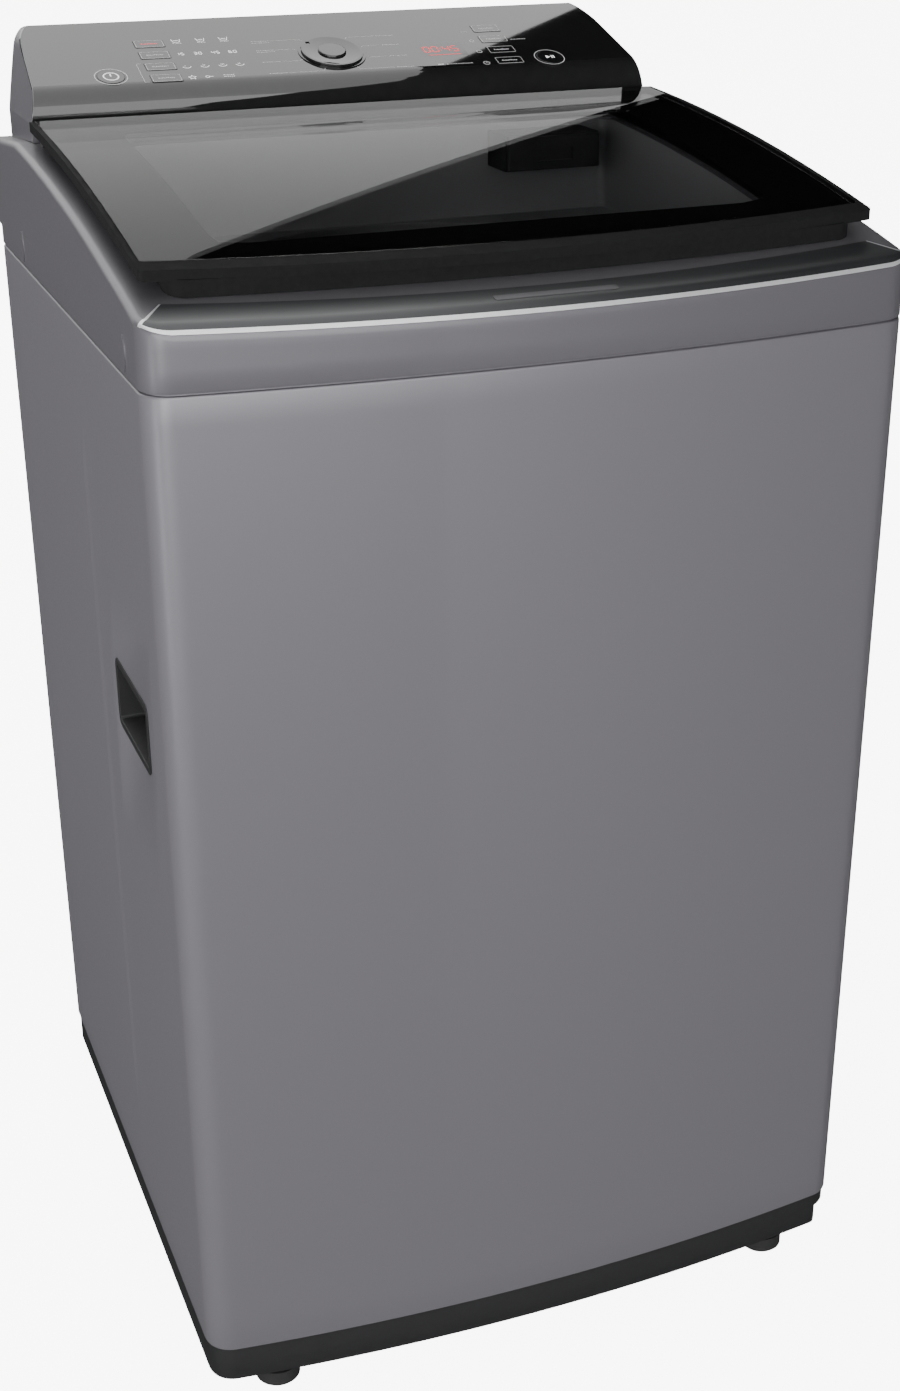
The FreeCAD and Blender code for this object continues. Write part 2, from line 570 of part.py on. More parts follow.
def make_controls():
    board = panel_box(0.0, 24.0, 420.0, 70.0, -BOARD_DEPTH - 1.6, -BOARD_DEPTH)
    switches = []
    tip = -BUTTON_TRAVEL - 8.0 - 0.3
    for _, u, v in spaced_options():
        switches.append(panel_box(u, v, 6.0, 6.0, -BOARD_DEPTH, tip))
    for u, v in ROUND_BUTTONS.values():
        switches.append(panel_box(u, v, 6.0, 6.0, -BOARD_DEPTH, tip))
    u, v, w, h = DISPLAY
    board = fused([board] + switches + [panel_box(u, v, w - 7, h - 7, -BOARD_DEPTH, -1.6)])
    encoder = pipe(9.0, 3.0 + RUN, 7.0, (KNOB[0], KNOB[1], -BOARD_DEPTH))
    parts["control_board"] = on_panel(group([board, encoder]))

    ku, kv = KNOB
    dish = rod(KNOB_R, DISH_T, (ku, kv, KNOB_LIFT))
    bowl = Part.makeSphere(DISH_HOLLOW_R, V(ku, kv, KNOB_LIFT + DISH_T + DISH_HOLLOW_R - 1.0))
    grip = rod(GRIP_R, GRIP_T, (ku, kv, KNOB_LIFT))
    grip = rounded_edges(grip, 1.0, lambda e: e.Closed and e.CenterOfMass.z > GRIP_T)
    mark = block(ku - 18.0, ku - 14.5, kv + 13.0, kv + 16.5, KNOB_LIFT + 1.0, 9.0)
    shaft = rod(3.0, 12.6, (ku, kv, -12.0))
    parts["program_knob"] = on_panel(fused([dish.cut(bowl), grip, shaft]).cut(mark))

    for name, (u, v) in ROUND_BUTTONS.items():
        cap = rod(ROUND_BUTTON_R, 8.0 + BUTTON_PROUD, (u, v, -8.0))
        cap = rounded_edges(cap, 0.25, lambda e: e.Closed and e.CenterOfMass.z > 0.0)
        parts[name] = on_panel(cap.fuse(rod(ROUND_BUTTON_R + 1.5, 2.0, (u, v, -8.0))))
    for name, u, v in spaced_options():
        cap = panel_box(u, v, OPTION_W, OPTION_H, -8.0, BUTTON_PROUD, 1.0)
        flange = panel_box(u, v, OPTION_W + 2.4, OPTION_H + 2.4, -8.0, -6.0, 1.0)
        parts[name] = on_panel(cap.fuse(flange))


# ---------------------------------------------------------------- detergent dispenser and water path

def make_dispenser():
    x0, x1 = DISPENSER_X
    y0, y1 = DISPENSER_Y
    z0, z1 = DISPENSER_Z
    wall = DISPENSER_WALL
    box = block(x0, x1, y0, y1, z0, z1)
    box = box.cut(block(x0 + wall, x1 - wall, y0 - 1, y1 - wall, z0 + wall, z1 - wall))
    parts["dispenser_housing"] = box
    parts["well_liner"] = parts["well_liner"].cut(block(x0, x1, y0, y1, z0, z1))
    g = wall + DRAWER_GAP
    dx0, dx1, dz0, dz1 = x0 + g, x1 - g, z0 + g, z1 - g
    front = block(x0 + 1, x1 - 1, y0 - 5.0, y0 - 0.8, z0 + 1, z1 - 1)
    front = rounded_edges(front, 1.6, lambda e: abs(e.tangentAt(e.FirstParameter).z) > 0.99
                          and e.CenterOfMass.y < y0 - 4)
    tray = block(dx0, dx1, y0 - 1.2, y1 - wall - 1.5, dz0, dz1 - 4)
    inner = [block(dx0 + 2, dx0 + 50, y0 + 2, y1 - wall - 3.5, dz0 + 2, z1 + 2),
             block(dx0 + 52, dx1 - 2, y0 + 2, y1 - wall - 3.5, dz0 + 2, z1 + 2)]
    finger = block((x0 + x1) / 2 - 16, (x0 + x1) / 2 + 16, y0 - 6, y0 - 3.0, z0 + 8, z0 + 18)
    parts["detergent_drawer"] = fused([front, tray]).cut(group(inner)).cut(finger)


def make_water_path():
    valves = []
    for x in SPIGOT_X:
        spigot = pipe(SPIGOT_R, SPIGOT_BORE, EDGE_Y - BAY_Y + 6.0, (x, BAY_Y - 6.0, SPIGOT_Z), Y_AXIS)
        spigot = spigot.fuse(pipe(SHOULDER_OUT_R, SPIGOT_BORE, 8.0, (x, BAY_Y - 6.0, SPIGOT_Z), Y_AXIS))
        body = block(x - 18, x + 18, BAY_Y - 26, BAY_Y - 6, SPIGOT_Z - 18, SPIGOT_Z + 13)
        coil = rod(9.5, 14.0, (x, BAY_Y - 16, SPIGOT_Z - 32))
        valves.append(fused([body, spigot, coil]))
    parts["inlet_valves"] = group(valves)
    z0, z1 = 858.0, 870.0
    manifold = block(-50, 132, BAY_Y - 24, BAY_Y - 8, z0, z1)
    feed = block(114, 132, DISPENSER_Y[1], BAY_Y - 8, z0, z1)
    drops = [rod(6.0, SPIGOT_Z - 32.0 - z0, (x, BAY_Y - 16, z0)) for x in SPIGOT_X]
    parts["water_duct"] = fused([manifold, feed] + drops)
    for name in ("top_cover", "well_liner"):
        parts[name] = parts[name].cut(parts["water_duct"])
    sensor = rod(22.0, 20.0, (-190.0, 205.0, 880.0)).fuse(rod(4.0, 8.0, (-190.0, 205.0, 900.0)))
    parts["pressure_sensor"] = sensor.cut(cover_outside(0.0, 0.0))


# ---------------------------------------------------------------- tub, drum and drive

def make_tub():
    z0, z1 = TUB_Z
    c = (0, AXIS_Y)
    shell = rod(TUB_R, z1 - z0, (c[0], c[1], z0))
    cavity = rod(TUB_R - TUB_WALL, z1, (c[0], c[1], z0 + 5.0))
    hub = rod(SPIN_SHAFT_R + 12, 5.0, (c[0], c[1], z0))
    lugs = []
    for x in (-ROD_X, ROD_X):
        for y in (ROD_FRONT_Y, ROD_BACK_Y):
            dx, dy = x, y - AXIS_Y
            length = math.hypot(dx, dy)
            arm = block(0, length + 14, -14, 14, SPRING_Z[1], SPRING_Z[1] + 12)
            arm.rotate(V(0, 0, 0), Z_AXIS, math.degrees(math.atan2(dy, dx)))
            arm.translate(V(0, AXIS_Y, 0))
            lugs.append(arm)
    body = fused([shell, hub] + lugs).cut(cavity)
    for x in (-ROD_X, ROD_X):
        for y in (ROD_FRONT_Y, ROD_BACK_Y):
            body = body.cut(rod(ROD_R + 2.0, 60.0, (x, y, SPRING_Z[1] - 20)))
    body = body.cut(rod(SPIN_SHAFT_R + 1.0, 60.0, (0, AXIS_Y, z0 - 20)))
    parts["outer_tub"] = body
    ring = pipe(TUB_R + 2.0, RING_R - 2.0, 6.0, (0, AXIS_Y, z1))
    parts["tub_cover_ring"] = ring


def make_drum():
    z0, z1 = DRUM_Z
    wall = pipe(DRUM_R, DRUM_R - DRUM_WALL, z1 - 48.0 - z0, (0, AXIS_Y, z0))
    floor = rod(DRUM_R, 3.0, (0, AXIS_Y, z0)).cut(rod(SPIN_SHAFT_R - 0.5, 30, (0, AXIS_Y, z0 - 10)))
    drum = fused([wall, floor])
    ribs = []
    for k in range(8):
        rib = rod(8.0, 330.0, (DRUM_R - 3.0, 0, z0 + 30)).common(rod(DRUM_R - 0.2, 400.0, (0, 0, z0)))
        rib.rotate(V(0, 0, 0), Z_AXIS, 45.0 * k)
        rib.translate(V(0, AXIS_Y, 0))
        ribs.append(rib)
    parts["wash_drum"] = fused([drum] + ribs)
    ring = pipe(DRUM_R + 1.5, RING_R, 48.0, (0, AXIS_Y, z1 - 48.0))
    parts["balance_ring"] = rounded_edges(ring, 5.0, lambda e: e.Closed and e.CenterOfMass.z > z1 - 0.1)
    filters = []
    for angle in (22.5, 202.5):
        f = block(DRUM_R - 16, DRUM_R - 6, -38, 38, z0 + 250, z0 + 390)
        f.rotate(V(0, 0, 0), Z_AXIS, angle)
        f.translate(V(0, AXIS_Y, 0))
        filters.append(f)
    parts["lint_filters"] = group(filters)
    shaft = pipe(SPIN_SHAFT_R, WASH_SHAFT_R + RUN, z0 - 84.0, (0, AXIS_Y, 84.0))
    parts["spin_shaft"] = shaft

    dish_z = z0 + 6.0
    dish = rod(PULSATOR_R, 8.0, (0, AXIS_Y, dish_z))
    cone = Part.makeCone(60.0, 26.0, 26.0, V(0, AXIS_Y, dish_z + 8.0))
    blades = []
    for k in range(6):
        blade = rounded_edges(block(30.0, PULSATOR_R - 14.0, -7.0, 7.0, -2.0, 16.0), 5.0,
                              lambda e: abs(e.tangentAt(e.FirstParameter).x) > 0.99 and e.CenterOfMass.z > 0)
        blade.rotate(V(0, 0, 0), Z_AXIS, 60.0 * k)
        blade.translate(V(0, AXIS_Y, dish_z + 8.0))
        blades.append(blade)
    pulsator = fused([dish, cone] + blades)
    pulsator = pulsator.cut(rod(WASH_SHAFT_R, 40, (0, AXIS_Y, dish_z - 5)))
    parts["pulsator"] = pulsator.cut(rod(12.0, 4.0, (0, AXIS_Y, dish_z + 31.0)))
    parts["pulsator_screw"] = rod(9.0, 3.0, (0, AXIS_Y, dish_z + 35.0))
    parts["wash_shaft"] = rod(WASH_SHAFT_R, dish_z + 35.0 - (PULLEY_Z - 6.0), (0, AXIS_Y, PULLEY_Z - 6.0))


def grooved_pulley(r, bore, at):
    wheel = rod(r + 2.0, 12.0, at)
    groove = pipe(r + 5.0, r - 3.0, 8.0, (at[0], at[1], at[2] + 2.0))
    return wheel.cut(groove).cut(rod(bore, 40.0, (at[0], at[1], at[2] - 10.0)))


def make_drive():
    drive = grooved_pulley(DRIVE_PULLEY_R, WASH_SHAFT_R, (0, AXIS_Y, PULLEY_Z))
    spokes = [rod(13.0, 30.0, (40.0 * math.cos(math.radians(60 * k)),
                               AXIS_Y + 40.0 * math.sin(math.radians(60 * k)), PULLEY_Z - 5)) for k in range(6)]
    parts["drive_pulley"] = drive.cut(group(spokes))
    parts["motor_pulley"] = grooved_pulley(MOTOR_PULLEY_R, 4.0, (MOTOR_X, AXIS_Y, PULLEY_Z)).fuse(
        rod(4.0, 26.0, (MOTOR_X, AXIS_Y, PULLEY_Z)))
    inner_r, t = -3.0 + BELT_GAP, 3.0
    wires = []
    for extra in (inner_r, inner_r + t):
        r1, r2 = DRIVE_PULLEY_R + extra, MOTOR_PULLEY_R + extra
        tilt = math.acos((r1 - r2) / abs(MOTOR_X))
        c, s = math.cos(math.pi - tilt), math.sin(math.pi - tilt)
        z = PULLEY_Z + 3.0
        p1, p2 = V(r1 * c, AXIS_Y + r1 * s, z), V(r1 * c, AXIS_Y - r1 * s, z)
        q1, q2 = V(MOTOR_X + r2 * c, AXIS_Y + r2 * s, z), V(MOTOR_X + r2 * c, AXIS_Y - r2 * s, z)
        wires.append(Part.Wire([Part.Arc(p1, V(r1, AXIS_Y, z), p2).toShape(), Part.makeLine(p2, q2),
                                Part.Arc(q2, V(MOTOR_X - r2, AXIS_Y, z), q1).toShape(), Part.makeLine(q1, p1)]))
    outer, inner = [Part.Face(w).extrude(V(0, 0, 6.0)) for w in reversed(wires)]
    parts["drive_belt"] = outer.cut(inner)

    bearing = rod(46.0, 72.0, (0, AXIS_Y, 86.0))
    neck = rod(30.0, 34.0, (0, AXIS_Y, 156.0))
    plate = block(-190.0, 190.0, AXIS_Y - 60.0, AXIS_Y + 60.0, 158.0, 162.0)
    posts = [rod(9.0, 28.0, (x, AXIS_Y + y, 162.0)) for x in (-150.0, 150.0) for y in (-45.0, 45.0)]
    gearbox = bearing.fuse(neck)
    parts["gearbox"] = gearbox.cut(rod(SPIN_SHAFT_R + RUN, 300.0, (0, AXIS_Y, 0)))
    plate = fused([plate] + posts).cut(rod(30.0, 60.0, (0, AXIS_Y, 150.0)))
    motor = rod(54.0, 66.0, (MOTOR_X, AXIS_Y, 92.0))
    motor = motor.cut(rod(4.0 + RUN, 30.0, (MOTOR_X, AXIS_Y, 80.0)))
    plate = plate.cut(motor)
    parts["support_plate"] = plate
    parts["motor"] = motor
    pump = rod(28.0, 46.0, (150.0, AXIS_Y, 112.0))
    outlet = rod(8.0, 34.0, (150.0, AXIS_Y, 122.0), Y_AXIS)
    parts["drain_pump"] = pump.fuse(outlet)


def make_suspension():
    rods, springs = [], []
    for x in (-ROD_X, ROD_X):
        for y in (ROD_FRONT_Y, ROD_BACK_Y):
            hanger = rod(ROD_R, ROD_SEAT_Z + 8 - SPRING_Z[0], (x, y, SPRING_Z[0]))
            cap = rod(14.0, 5.0, (x, y, SPRING_Z[0] - 5))
            head = rod(11.0, 8.0, (x, y, ROD_SEAT_Z))
            rods.append(fused([hanger, cap, head]))
            springs.append(pipe(12.0, 8.0, SPRING_Z[1] - SPRING_Z[0], (x, y, SPRING_Z[0])))
    parts["suspension_rods"] = group(rods)
    parts["suspension_springs"] = group(springs)


def make_rear_fittings():
    x, z = DRAIN
    spigot = pipe(DRAIN_R, DRAIN_BORE, EDGE_Y - BACK_Y + 20.0, (x, BACK_Y - 20.0, z), Y_AXIS)
    flange = pipe(DRAIN_R + 7.0, DRAIN_BORE, 2.5, (x, BACK_Y - SHEET, z), Y_AXIS)
    parts["drain_outlet"] = spigot.fuse(flange)
    gx, gz = GLAND
    gland = pipe(7.8, 4.2, 10.0, (gx, BACK_Y - 6.0, gz), Y_AXIS).fuse(
        pipe(11.0, 4.2, 3.0, (gx, BACK_Y - SHEET, gz), Y_AXIS))
    parts["cord_gland"] = gland
    lock = block(186.0, 224.0, -236.0, -208.0, 816.0, 850.0)
    parts["lid_lock"] = lock.common(under_curve(LID_HEIGHT + LID_GAP + COVER_WALL, 700.0))


make_cabinet()
make_rear_panel()
make_base()
make_feet()
parts["side_handles"] = both_sides(side_handle(-1))
make_top_cover()
make_lid()
make_hinge_brackets()
make_console()
make_controls()
make_dispenser()
make_water_path()
make_tub()
make_drum()
make_drive()
make_suspension()
make_rear_fittings()

os.makedirs("parts", exist_ok=True)
for name, shape in parts.items():
    print(name, len(shape.Solids), "solids", round(shape.Volume / 1000, 1), "cm3", shape.isValid())
    shape.exportStep(os.path.join("parts", name + ".step"))
print(len(parts), "nodes")
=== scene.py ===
"""Top load washing machine: materials, fine meshes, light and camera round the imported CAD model.

Shapes are worked out in millimetres and become metres in make_piece. +Z is up and the front faces -Y.
"""
import json
import math

import bmesh
import bpy
from mathutils import Matrix, Vector


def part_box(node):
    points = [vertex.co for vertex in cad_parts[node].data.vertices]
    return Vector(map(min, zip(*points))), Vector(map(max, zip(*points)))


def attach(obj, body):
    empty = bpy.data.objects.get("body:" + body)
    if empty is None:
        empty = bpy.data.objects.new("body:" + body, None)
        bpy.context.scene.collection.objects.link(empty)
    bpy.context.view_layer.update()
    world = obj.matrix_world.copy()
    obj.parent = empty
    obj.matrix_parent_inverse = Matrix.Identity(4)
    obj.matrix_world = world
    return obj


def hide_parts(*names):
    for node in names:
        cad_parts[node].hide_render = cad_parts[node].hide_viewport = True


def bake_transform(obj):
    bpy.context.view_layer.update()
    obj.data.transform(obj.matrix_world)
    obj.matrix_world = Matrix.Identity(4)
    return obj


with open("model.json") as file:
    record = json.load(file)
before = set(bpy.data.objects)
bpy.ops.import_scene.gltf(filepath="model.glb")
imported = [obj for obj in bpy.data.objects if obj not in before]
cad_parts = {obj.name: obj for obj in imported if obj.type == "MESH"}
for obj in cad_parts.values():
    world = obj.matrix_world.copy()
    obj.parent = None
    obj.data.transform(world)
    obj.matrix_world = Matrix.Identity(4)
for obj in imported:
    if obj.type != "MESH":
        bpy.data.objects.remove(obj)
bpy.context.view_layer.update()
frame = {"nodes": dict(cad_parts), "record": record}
NODES = frame["nodes"]
SLOT_OF = {s["node"]: s["material_slot"] for s in frame["record"]["subparts"]}
BODY_OF = {n: body for body, names in frame["record"]["behaviour"]["bodies"].items() for n in names}
MM = 0.001


def span(node, axis):
    """Lowest and highest coordinate of a CAD node along an axis, in millimetres."""
    low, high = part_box(node)
    return low[axis] / MM, high[axis] / MM


def add_object(name, data):
    made = bpy.data.objects.new(name, data)
    bpy.context.scene.collection.objects.link(made)
    return made


def set_inputs(node, **values):
    """Sets a shader node's inputs; an underscore stands for the space in an input's name."""
    for name, value in values.items():
        node.inputs[name.replace("_", " ")].default_value = value


# ---------------------------------------------------------------- driving dimensions, in millimetres

HALF_W = span("cabinet", 0)[1]
BACK_Y = span("cabinet", 1)[1]
FRONT_Y = span("front_trim", 1)[0]
CABINET_Z, SEAM_Z = span("cabinet", 2)
BOW = 18.8                      # the front's middle is this far ahead of its corners
FRONT_CORNER_R, BACK_CORNER_R = 22.0, 8.0
REAR_FLANGE = 18.0              # width of the cabinet's flanges beside the rear panel
CONSOLE_BACK_Y = span("console_housing", 1)[1]
WELL_HALF_W = 214.0
WELL_FRONT_Y, WELL_BACK_Y = -200.0, 128.0
WELL_FRONT_R, WELL_BACK_R = 28.0, 7.0

LID_CURVE = ((134.0, 907.0), (-46.0, 891.5), (-226.0, 861.9))    # y, z of the glass in side view
DECK_DROP = 17.9                # deck below the glass
DECK_TURN_Y = 150.0             # behind this the deck slopes down towards the back
DECK_REAR_SLOPE = 13.0 / 140.0
SIDE_SHOULDER = (5.0, 5.0)      # inset and drop of the rounded shoulder at the sides
FRONT_SHOULDER = (9.0, 9.0)     # the same along the front
REAR_STEP_Z = 812.0             # above this the cover overhangs the cabinet's back

GLASS_HALF_W, GLASS_CORNER_Y = 255.0, -200.5
GLASS_FRONT_Y = span("lid_glass", 1)[0]
WINDOW_HALF_W, WINDOW_Y, WINDOW_R = 200.0, (-176.0, 96.0), 14.0
GLASS_T, SHEET_T = 3.6, 0.9
PRINT_DROP, PRINT_MARGIN = 3.75, 1.0    # black print below the glass's top, and in from its edge

TRIM_HALF_W, TRIM_PROUD = 250.0, 0.5
TRIM_REAR_Y, TRIM_REAR_BOW, TRIM_BOW_HALF_W = -246.0, 22.0, 252.0

HANDLE_Y, HANDLE_Z = (-196.5, -97.0), (512.0, 566.0)
PANEL_Y, PANEL_Z, PANEL_TILT = 163.0, 932.0, math.radians(20.5)
PANEL_TOP = 92.0
BUTTON_PROUD, MARK_PROUD = 0.3, 0.06
FASCIA_Z, FASCIA_HALF_W = (903.0, 966.0), (256.0, 243.0)    # heights, and the half width at each
FASCIA_FRONT_Y, FASCIA_KNEE_R, FASCIA_CORNER_R = 142.4, 21.0, 20.0
AXIS_Y = -30.0                  # the drum's axis
COIL_R, COIL_OUTER_R, WIRE_R, COIL_TURNS = 10.0, 12.0, 1.5, 9


# ---------------------------------------------------------------- camera, light and floor

CAMERA_AT = Vector((-0.5153, -1.4120, 1.1221))
CAMERA_YAW = math.radians(20.921)
CAMERA_PITCH = math.radians(24.165)
CAMERA_ROLL = math.radians(-0.381)
CAMERA_LENS = 51.39
WORLD_BELOW, WORLD_ABOVE = 0.66, 0.07   # the world's strength below and above the horizon
WORLD_FADE = (-0.25, 0.45)              # where it turns from one into the other
FLOOR_HALF, FLOOR_GLOW = 14.0, 8.0
WHITE, BLACK = (1.0, 1.0, 1.0, 1.0), (0.0, 0.0, 0.0, 1.0)

# Each light's place, target, size in metres, power in watts, and whether glossy surfaces mirror it.
LIGHTS = {
    "key": ((-2.4, -2.6, 1.0), (0, 0, 0.4), (1.2, 1.9), 56, True),
    "front_fill": ((0.9, -3.6, 0.75), (0, 0, 0.35), (2.2, 1.4), 47, False),
    "left_fill": ((-3.4, 0.5, 0.9), (0, 0, 0.45), (2.0, 1.6), 62, False),
    "back": ((0.6, 3.2, 1.6), (0, 0, 0.6), (2.6, 1.6), 44, False),
    "corner_strip": ((-1.9, -0.75, 0.45), (-0.27, -0.25, 0.45), (0.25, 1.1), 6, True),
}

# Outlines of the bright screens that the glossy parts mirror, in metres: the console's lies level
# and is given as x, y; the others stand upright and are given as x, z.
LID_SCREEN_Y, FRONT_SCREEN_Y, NOSE_SCREEN_Y, CONSOLE_SCREEN_Z = 3.0, -3.2, 0.1415, 2.65
LID_SCREEN = ((-3.0, 1.25), (2.15, 1.25), (0.32, 3.42), (-3.0, 3.42))
CONSOLE_SCREEN = ((-2.2, -3.2), (1.08, -3.2), (0.96, -2.35), (0.86, -1.63), (0.81, -1.19),
                  (0.72, -0.6), (0.69, 0.0), (0.70, 0.5), (0.75, 0.9), (0.884, 1.673),
                  (1.097, 1.759), (1.295, 1.84), (2.35, 2.3), (-2.2, 2.3))
FRONT_SCREEN = ((-2.2, 0.43), (0.29, 0.43), (0.59, 0.46), (0.66, 0.85), (0.77, 1.37),
                (0.91, 1.93), (1.08, 2.64), (-2.2, 2.64))
NOSE_SCREEN = ((-0.25, 0.908), (0.236, 0.908), (0.236, 0.922), (-0.25, 0.930))
LID_GLOW, CONSOLE_GLOW, FRONT_GLOW, NOSE_GLOW = 1.8, 3.0, 5.6, 1.4


def make_camera():
    data = bpy.data.cameras.new("camera")
    data.lens, data.sensor_width = CAMERA_LENS, 36.0
    camera = add_object("camera", data)
    ahead = Vector((math.sin(CAMERA_YAW) * math.cos(CAMERA_PITCH),
                    math.cos(CAMERA_YAW) * math.cos(CAMERA_PITCH), -math.sin(CAMERA_PITCH)))
    level = Vector((math.cos(CAMERA_YAW), -math.sin(CAMERA_YAW), 0.0))
    upward = level.cross(ahead)
    right = level * math.cos(CAMERA_ROLL) + upward * math.sin(CAMERA_ROLL)
    up = upward * math.cos(CAMERA_ROLL) - level * math.sin(CAMERA_ROLL)
    turn = Matrix((right, up, -ahead)).transposed().to_4x4()
    camera.matrix_world = Matrix.Translation(CAMERA_AT) @ turn
    bpy.context.scene.camera = camera


def area_light(name, at, target, size, power, glossy):
    data = bpy.data.lights.new(name, "AREA")
    data.shape, data.size, data.size_y, data.energy = "RECTANGLE", size[0], size[1], power
    light = add_object(name, data)
    light.location = at
    light.rotation_euler = (Vector(target) - Vector(at)).to_track_quat("-Z", "Y").to_euler()
    light.visible_camera = False
    light.visible_glossy = glossy
    return light


def make_world():
    """White light that fades from below the horizon to above it, and that mirrors don't see."""
    world = bpy.data.worlds.new("studio")
    world.use_nodes = True
    nodes, links = world.node_tree.nodes, world.node_tree.links
    sky, place = nodes["Background"], nodes.new("ShaderNodeTexCoord")
    split, level = nodes.new("ShaderNodeSeparateXYZ"), nodes.new("ShaderNodeMapRange")
    level.interpolation_type = "SMOOTHSTEP"
    set_inputs(level, From_Min=WORLD_FADE[0], From_Max=WORLD_FADE[1], To_Min=WORLD_BELOW,
               To_Max=WORLD_ABOVE)
    links.new(place.outputs["Generated"], split.inputs["Vector"])
    links.new(split.outputs["Z"], level.inputs["Value"])
    links.new(level.outputs["Result"], sky.inputs["Strength"])
    set_inputs(sky, Color=WHITE)
    world.cycles_visibility.glossy = False
    bpy.context.scene.world = world


def make_lights():
    """The studio's lights; the strip only draws a bright line down the front corner."""
    for name, placing in LIGHTS.items():
        light = area_light(name, *placing)
        light.visible_diffuse = name != "corner_strip"


def make_floor():
    """Glowing white ground, kept out of diffuse light, mirrors and shadows."""
    mesh = bpy.data.meshes.new("floor")
    signs = ((-1, -1), (1, -1), (1, 1), (-1, 1))
    mesh.from_pydata([(sx * FLOOR_HALF, sy * FLOOR_HALF, 0) for sx, sy in signs], [], [(0, 1, 2, 3)])
    floor = add_object("floor", mesh)
    white = material("floor_white", (0.9, 0.9, 0.9), 0.9, grain=(3.0, 0.01),
                     Emission_Strength=FLOOR_GLOW)
    floor.data.materials.append(white)
    floor.visible_glossy = False
    floor.visible_diffuse = False
    floor.visible_shadow = False


def reflection_card(name, corners, strength, one_sided=False):
    """A glowing card that only mirror-like surfaces see; a one-sided card is clear from behind."""
    mesh = bpy.data.meshes.new(name)
    mesh.from_pydata(corners, [], [tuple(range(len(corners)))])
    card = add_object(name, mesh)
    glow = bpy.data.materials.new(name)
    glow.use_nodes = True
    shader = glow.node_tree.nodes["Principled BSDF"]
    set_inputs(shader, Base_Color=BLACK, Emission_Color=WHITE, Emission_Strength=strength)
    if one_sided:
        nodes, links = glow.node_tree.nodes, glow.node_tree.links
        side, clear = nodes.new("ShaderNodeNewGeometry"), nodes.new("ShaderNodeBsdfTransparent")
        mix = nodes.new("ShaderNodeMixShader")
        links.new(side.outputs["Backfacing"], mix.inputs["Fac"])
        links.new(shader.outputs["BSDF"], mix.inputs[1])
        links.new(clear.outputs["BSDF"], mix.inputs[2])
        links.new(mix.outputs["Shader"], nodes["Material Output"].inputs["Surface"])
    card.data.materials.append(glow)
    card.visible_camera = False
    card.visible_diffuse = False
    card.visible_shadow = False
    card.visible_transmission = False


def upright(y, outline):
    return [(x, y, z) for x, z in outline]


def make_reflections():
    """Screens behind, above and in front, and a small one for the nose of the console."""
    reflection_card("lid_card", upright(LID_SCREEN_Y, LID_SCREEN), LID_GLOW)
    reflection_card("console_card", [(x, y, CONSOLE_SCREEN_Z) for x, y in CONSOLE_SCREEN], CONSOLE_GLOW)
    reflection_card("front_card", upright(FRONT_SCREEN_Y, FRONT_SCREEN), FRONT_GLOW)
    reflection_card("nose_card", upright(NOSE_SCREEN_Y, NOSE_SCREEN), NOSE_GLOW, one_sided=True)


# ---------------------------------------------------------------- materials

PLAIN_GRAIN = (40.0, 0.03)
NOISE_LOW, NOISE_HIGH = 0.3, 0.7        # most of the noise lies between these
GLOSS_SPREAD = 0.08                     # share by which the noise changes the roughness
GLOSS_SCALE = 0.31                      # its scale beside the colour's noise
BUMP_HEIGHT = 0.2 * MM
BRUSHED = (0.03, 1, 1)                  # stretches the noise along x


def material(name, color, roughness=0.5, metallic=0.0, grain=PLAIN_GRAIN, bump=None,
             stretch=(1, 1, 1), **sockets):
    """A Principled material with noise in its colour and roughness, and a fine bump.

    grain is (scale, share of the colour), and bump is (scale, strength); scales are per metre.
    """
    made = bpy.data.materials.new(name)
    made.use_nodes = True
    nodes, links = made.node_tree.nodes, made.node_tree.links
    shader = nodes["Principled BSDF"]
    set_inputs(shader, Metallic=metallic, **sockets)
    place = nodes.new("ShaderNodeTexCoord")
    mapping = nodes.new("ShaderNodeMapping")
    set_inputs(mapping, Scale=stretch)
    links.new(place.outputs["Object"], mapping.inputs["Vector"])

    def noise(scale):
        node = nodes.new("ShaderNodeTexNoise")
        set_inputs(node, Scale=scale, Detail=3.0)
        links.new(mapping.outputs["Vector"], node.inputs["Vector"])
        return node.outputs["Fac"]

    scale, share = grain
    tone = nodes.new("ShaderNodeMix")
    tone.data_type = "RGBA"
    set_inputs(tone, A=(*[c * (1 - share) for c in color], 1.0),
               B=(*[min(1.0, c * (1 + share)) for c in color], 1.0))
    links.new(noise(scale), tone.inputs["Factor"])
    links.new(tone.outputs["Result"], shader.inputs["Base Color"])
    gloss = nodes.new("ShaderNodeMapRange")
    set_inputs(gloss, From_Min=NOISE_LOW, From_Max=NOISE_HIGH, To_Min=roughness * (1 - GLOSS_SPREAD),
               To_Max=min(1.0, roughness * (1 + GLOSS_SPREAD)))
    links.new(noise(scale * GLOSS_SCALE), gloss.inputs["Value"])
    links.new(gloss.outputs["Result"], shader.inputs["Roughness"])
    if bump:
        relief = nodes.new("ShaderNodeBump")
        set_inputs(relief, Strength=bump[1], Distance=BUMP_HEIGHT)
        links.new(noise(bump[0]), relief.inputs["Height"])
        links.new(relief.outputs["Normal"], shader.inputs["Normal"])
    return made


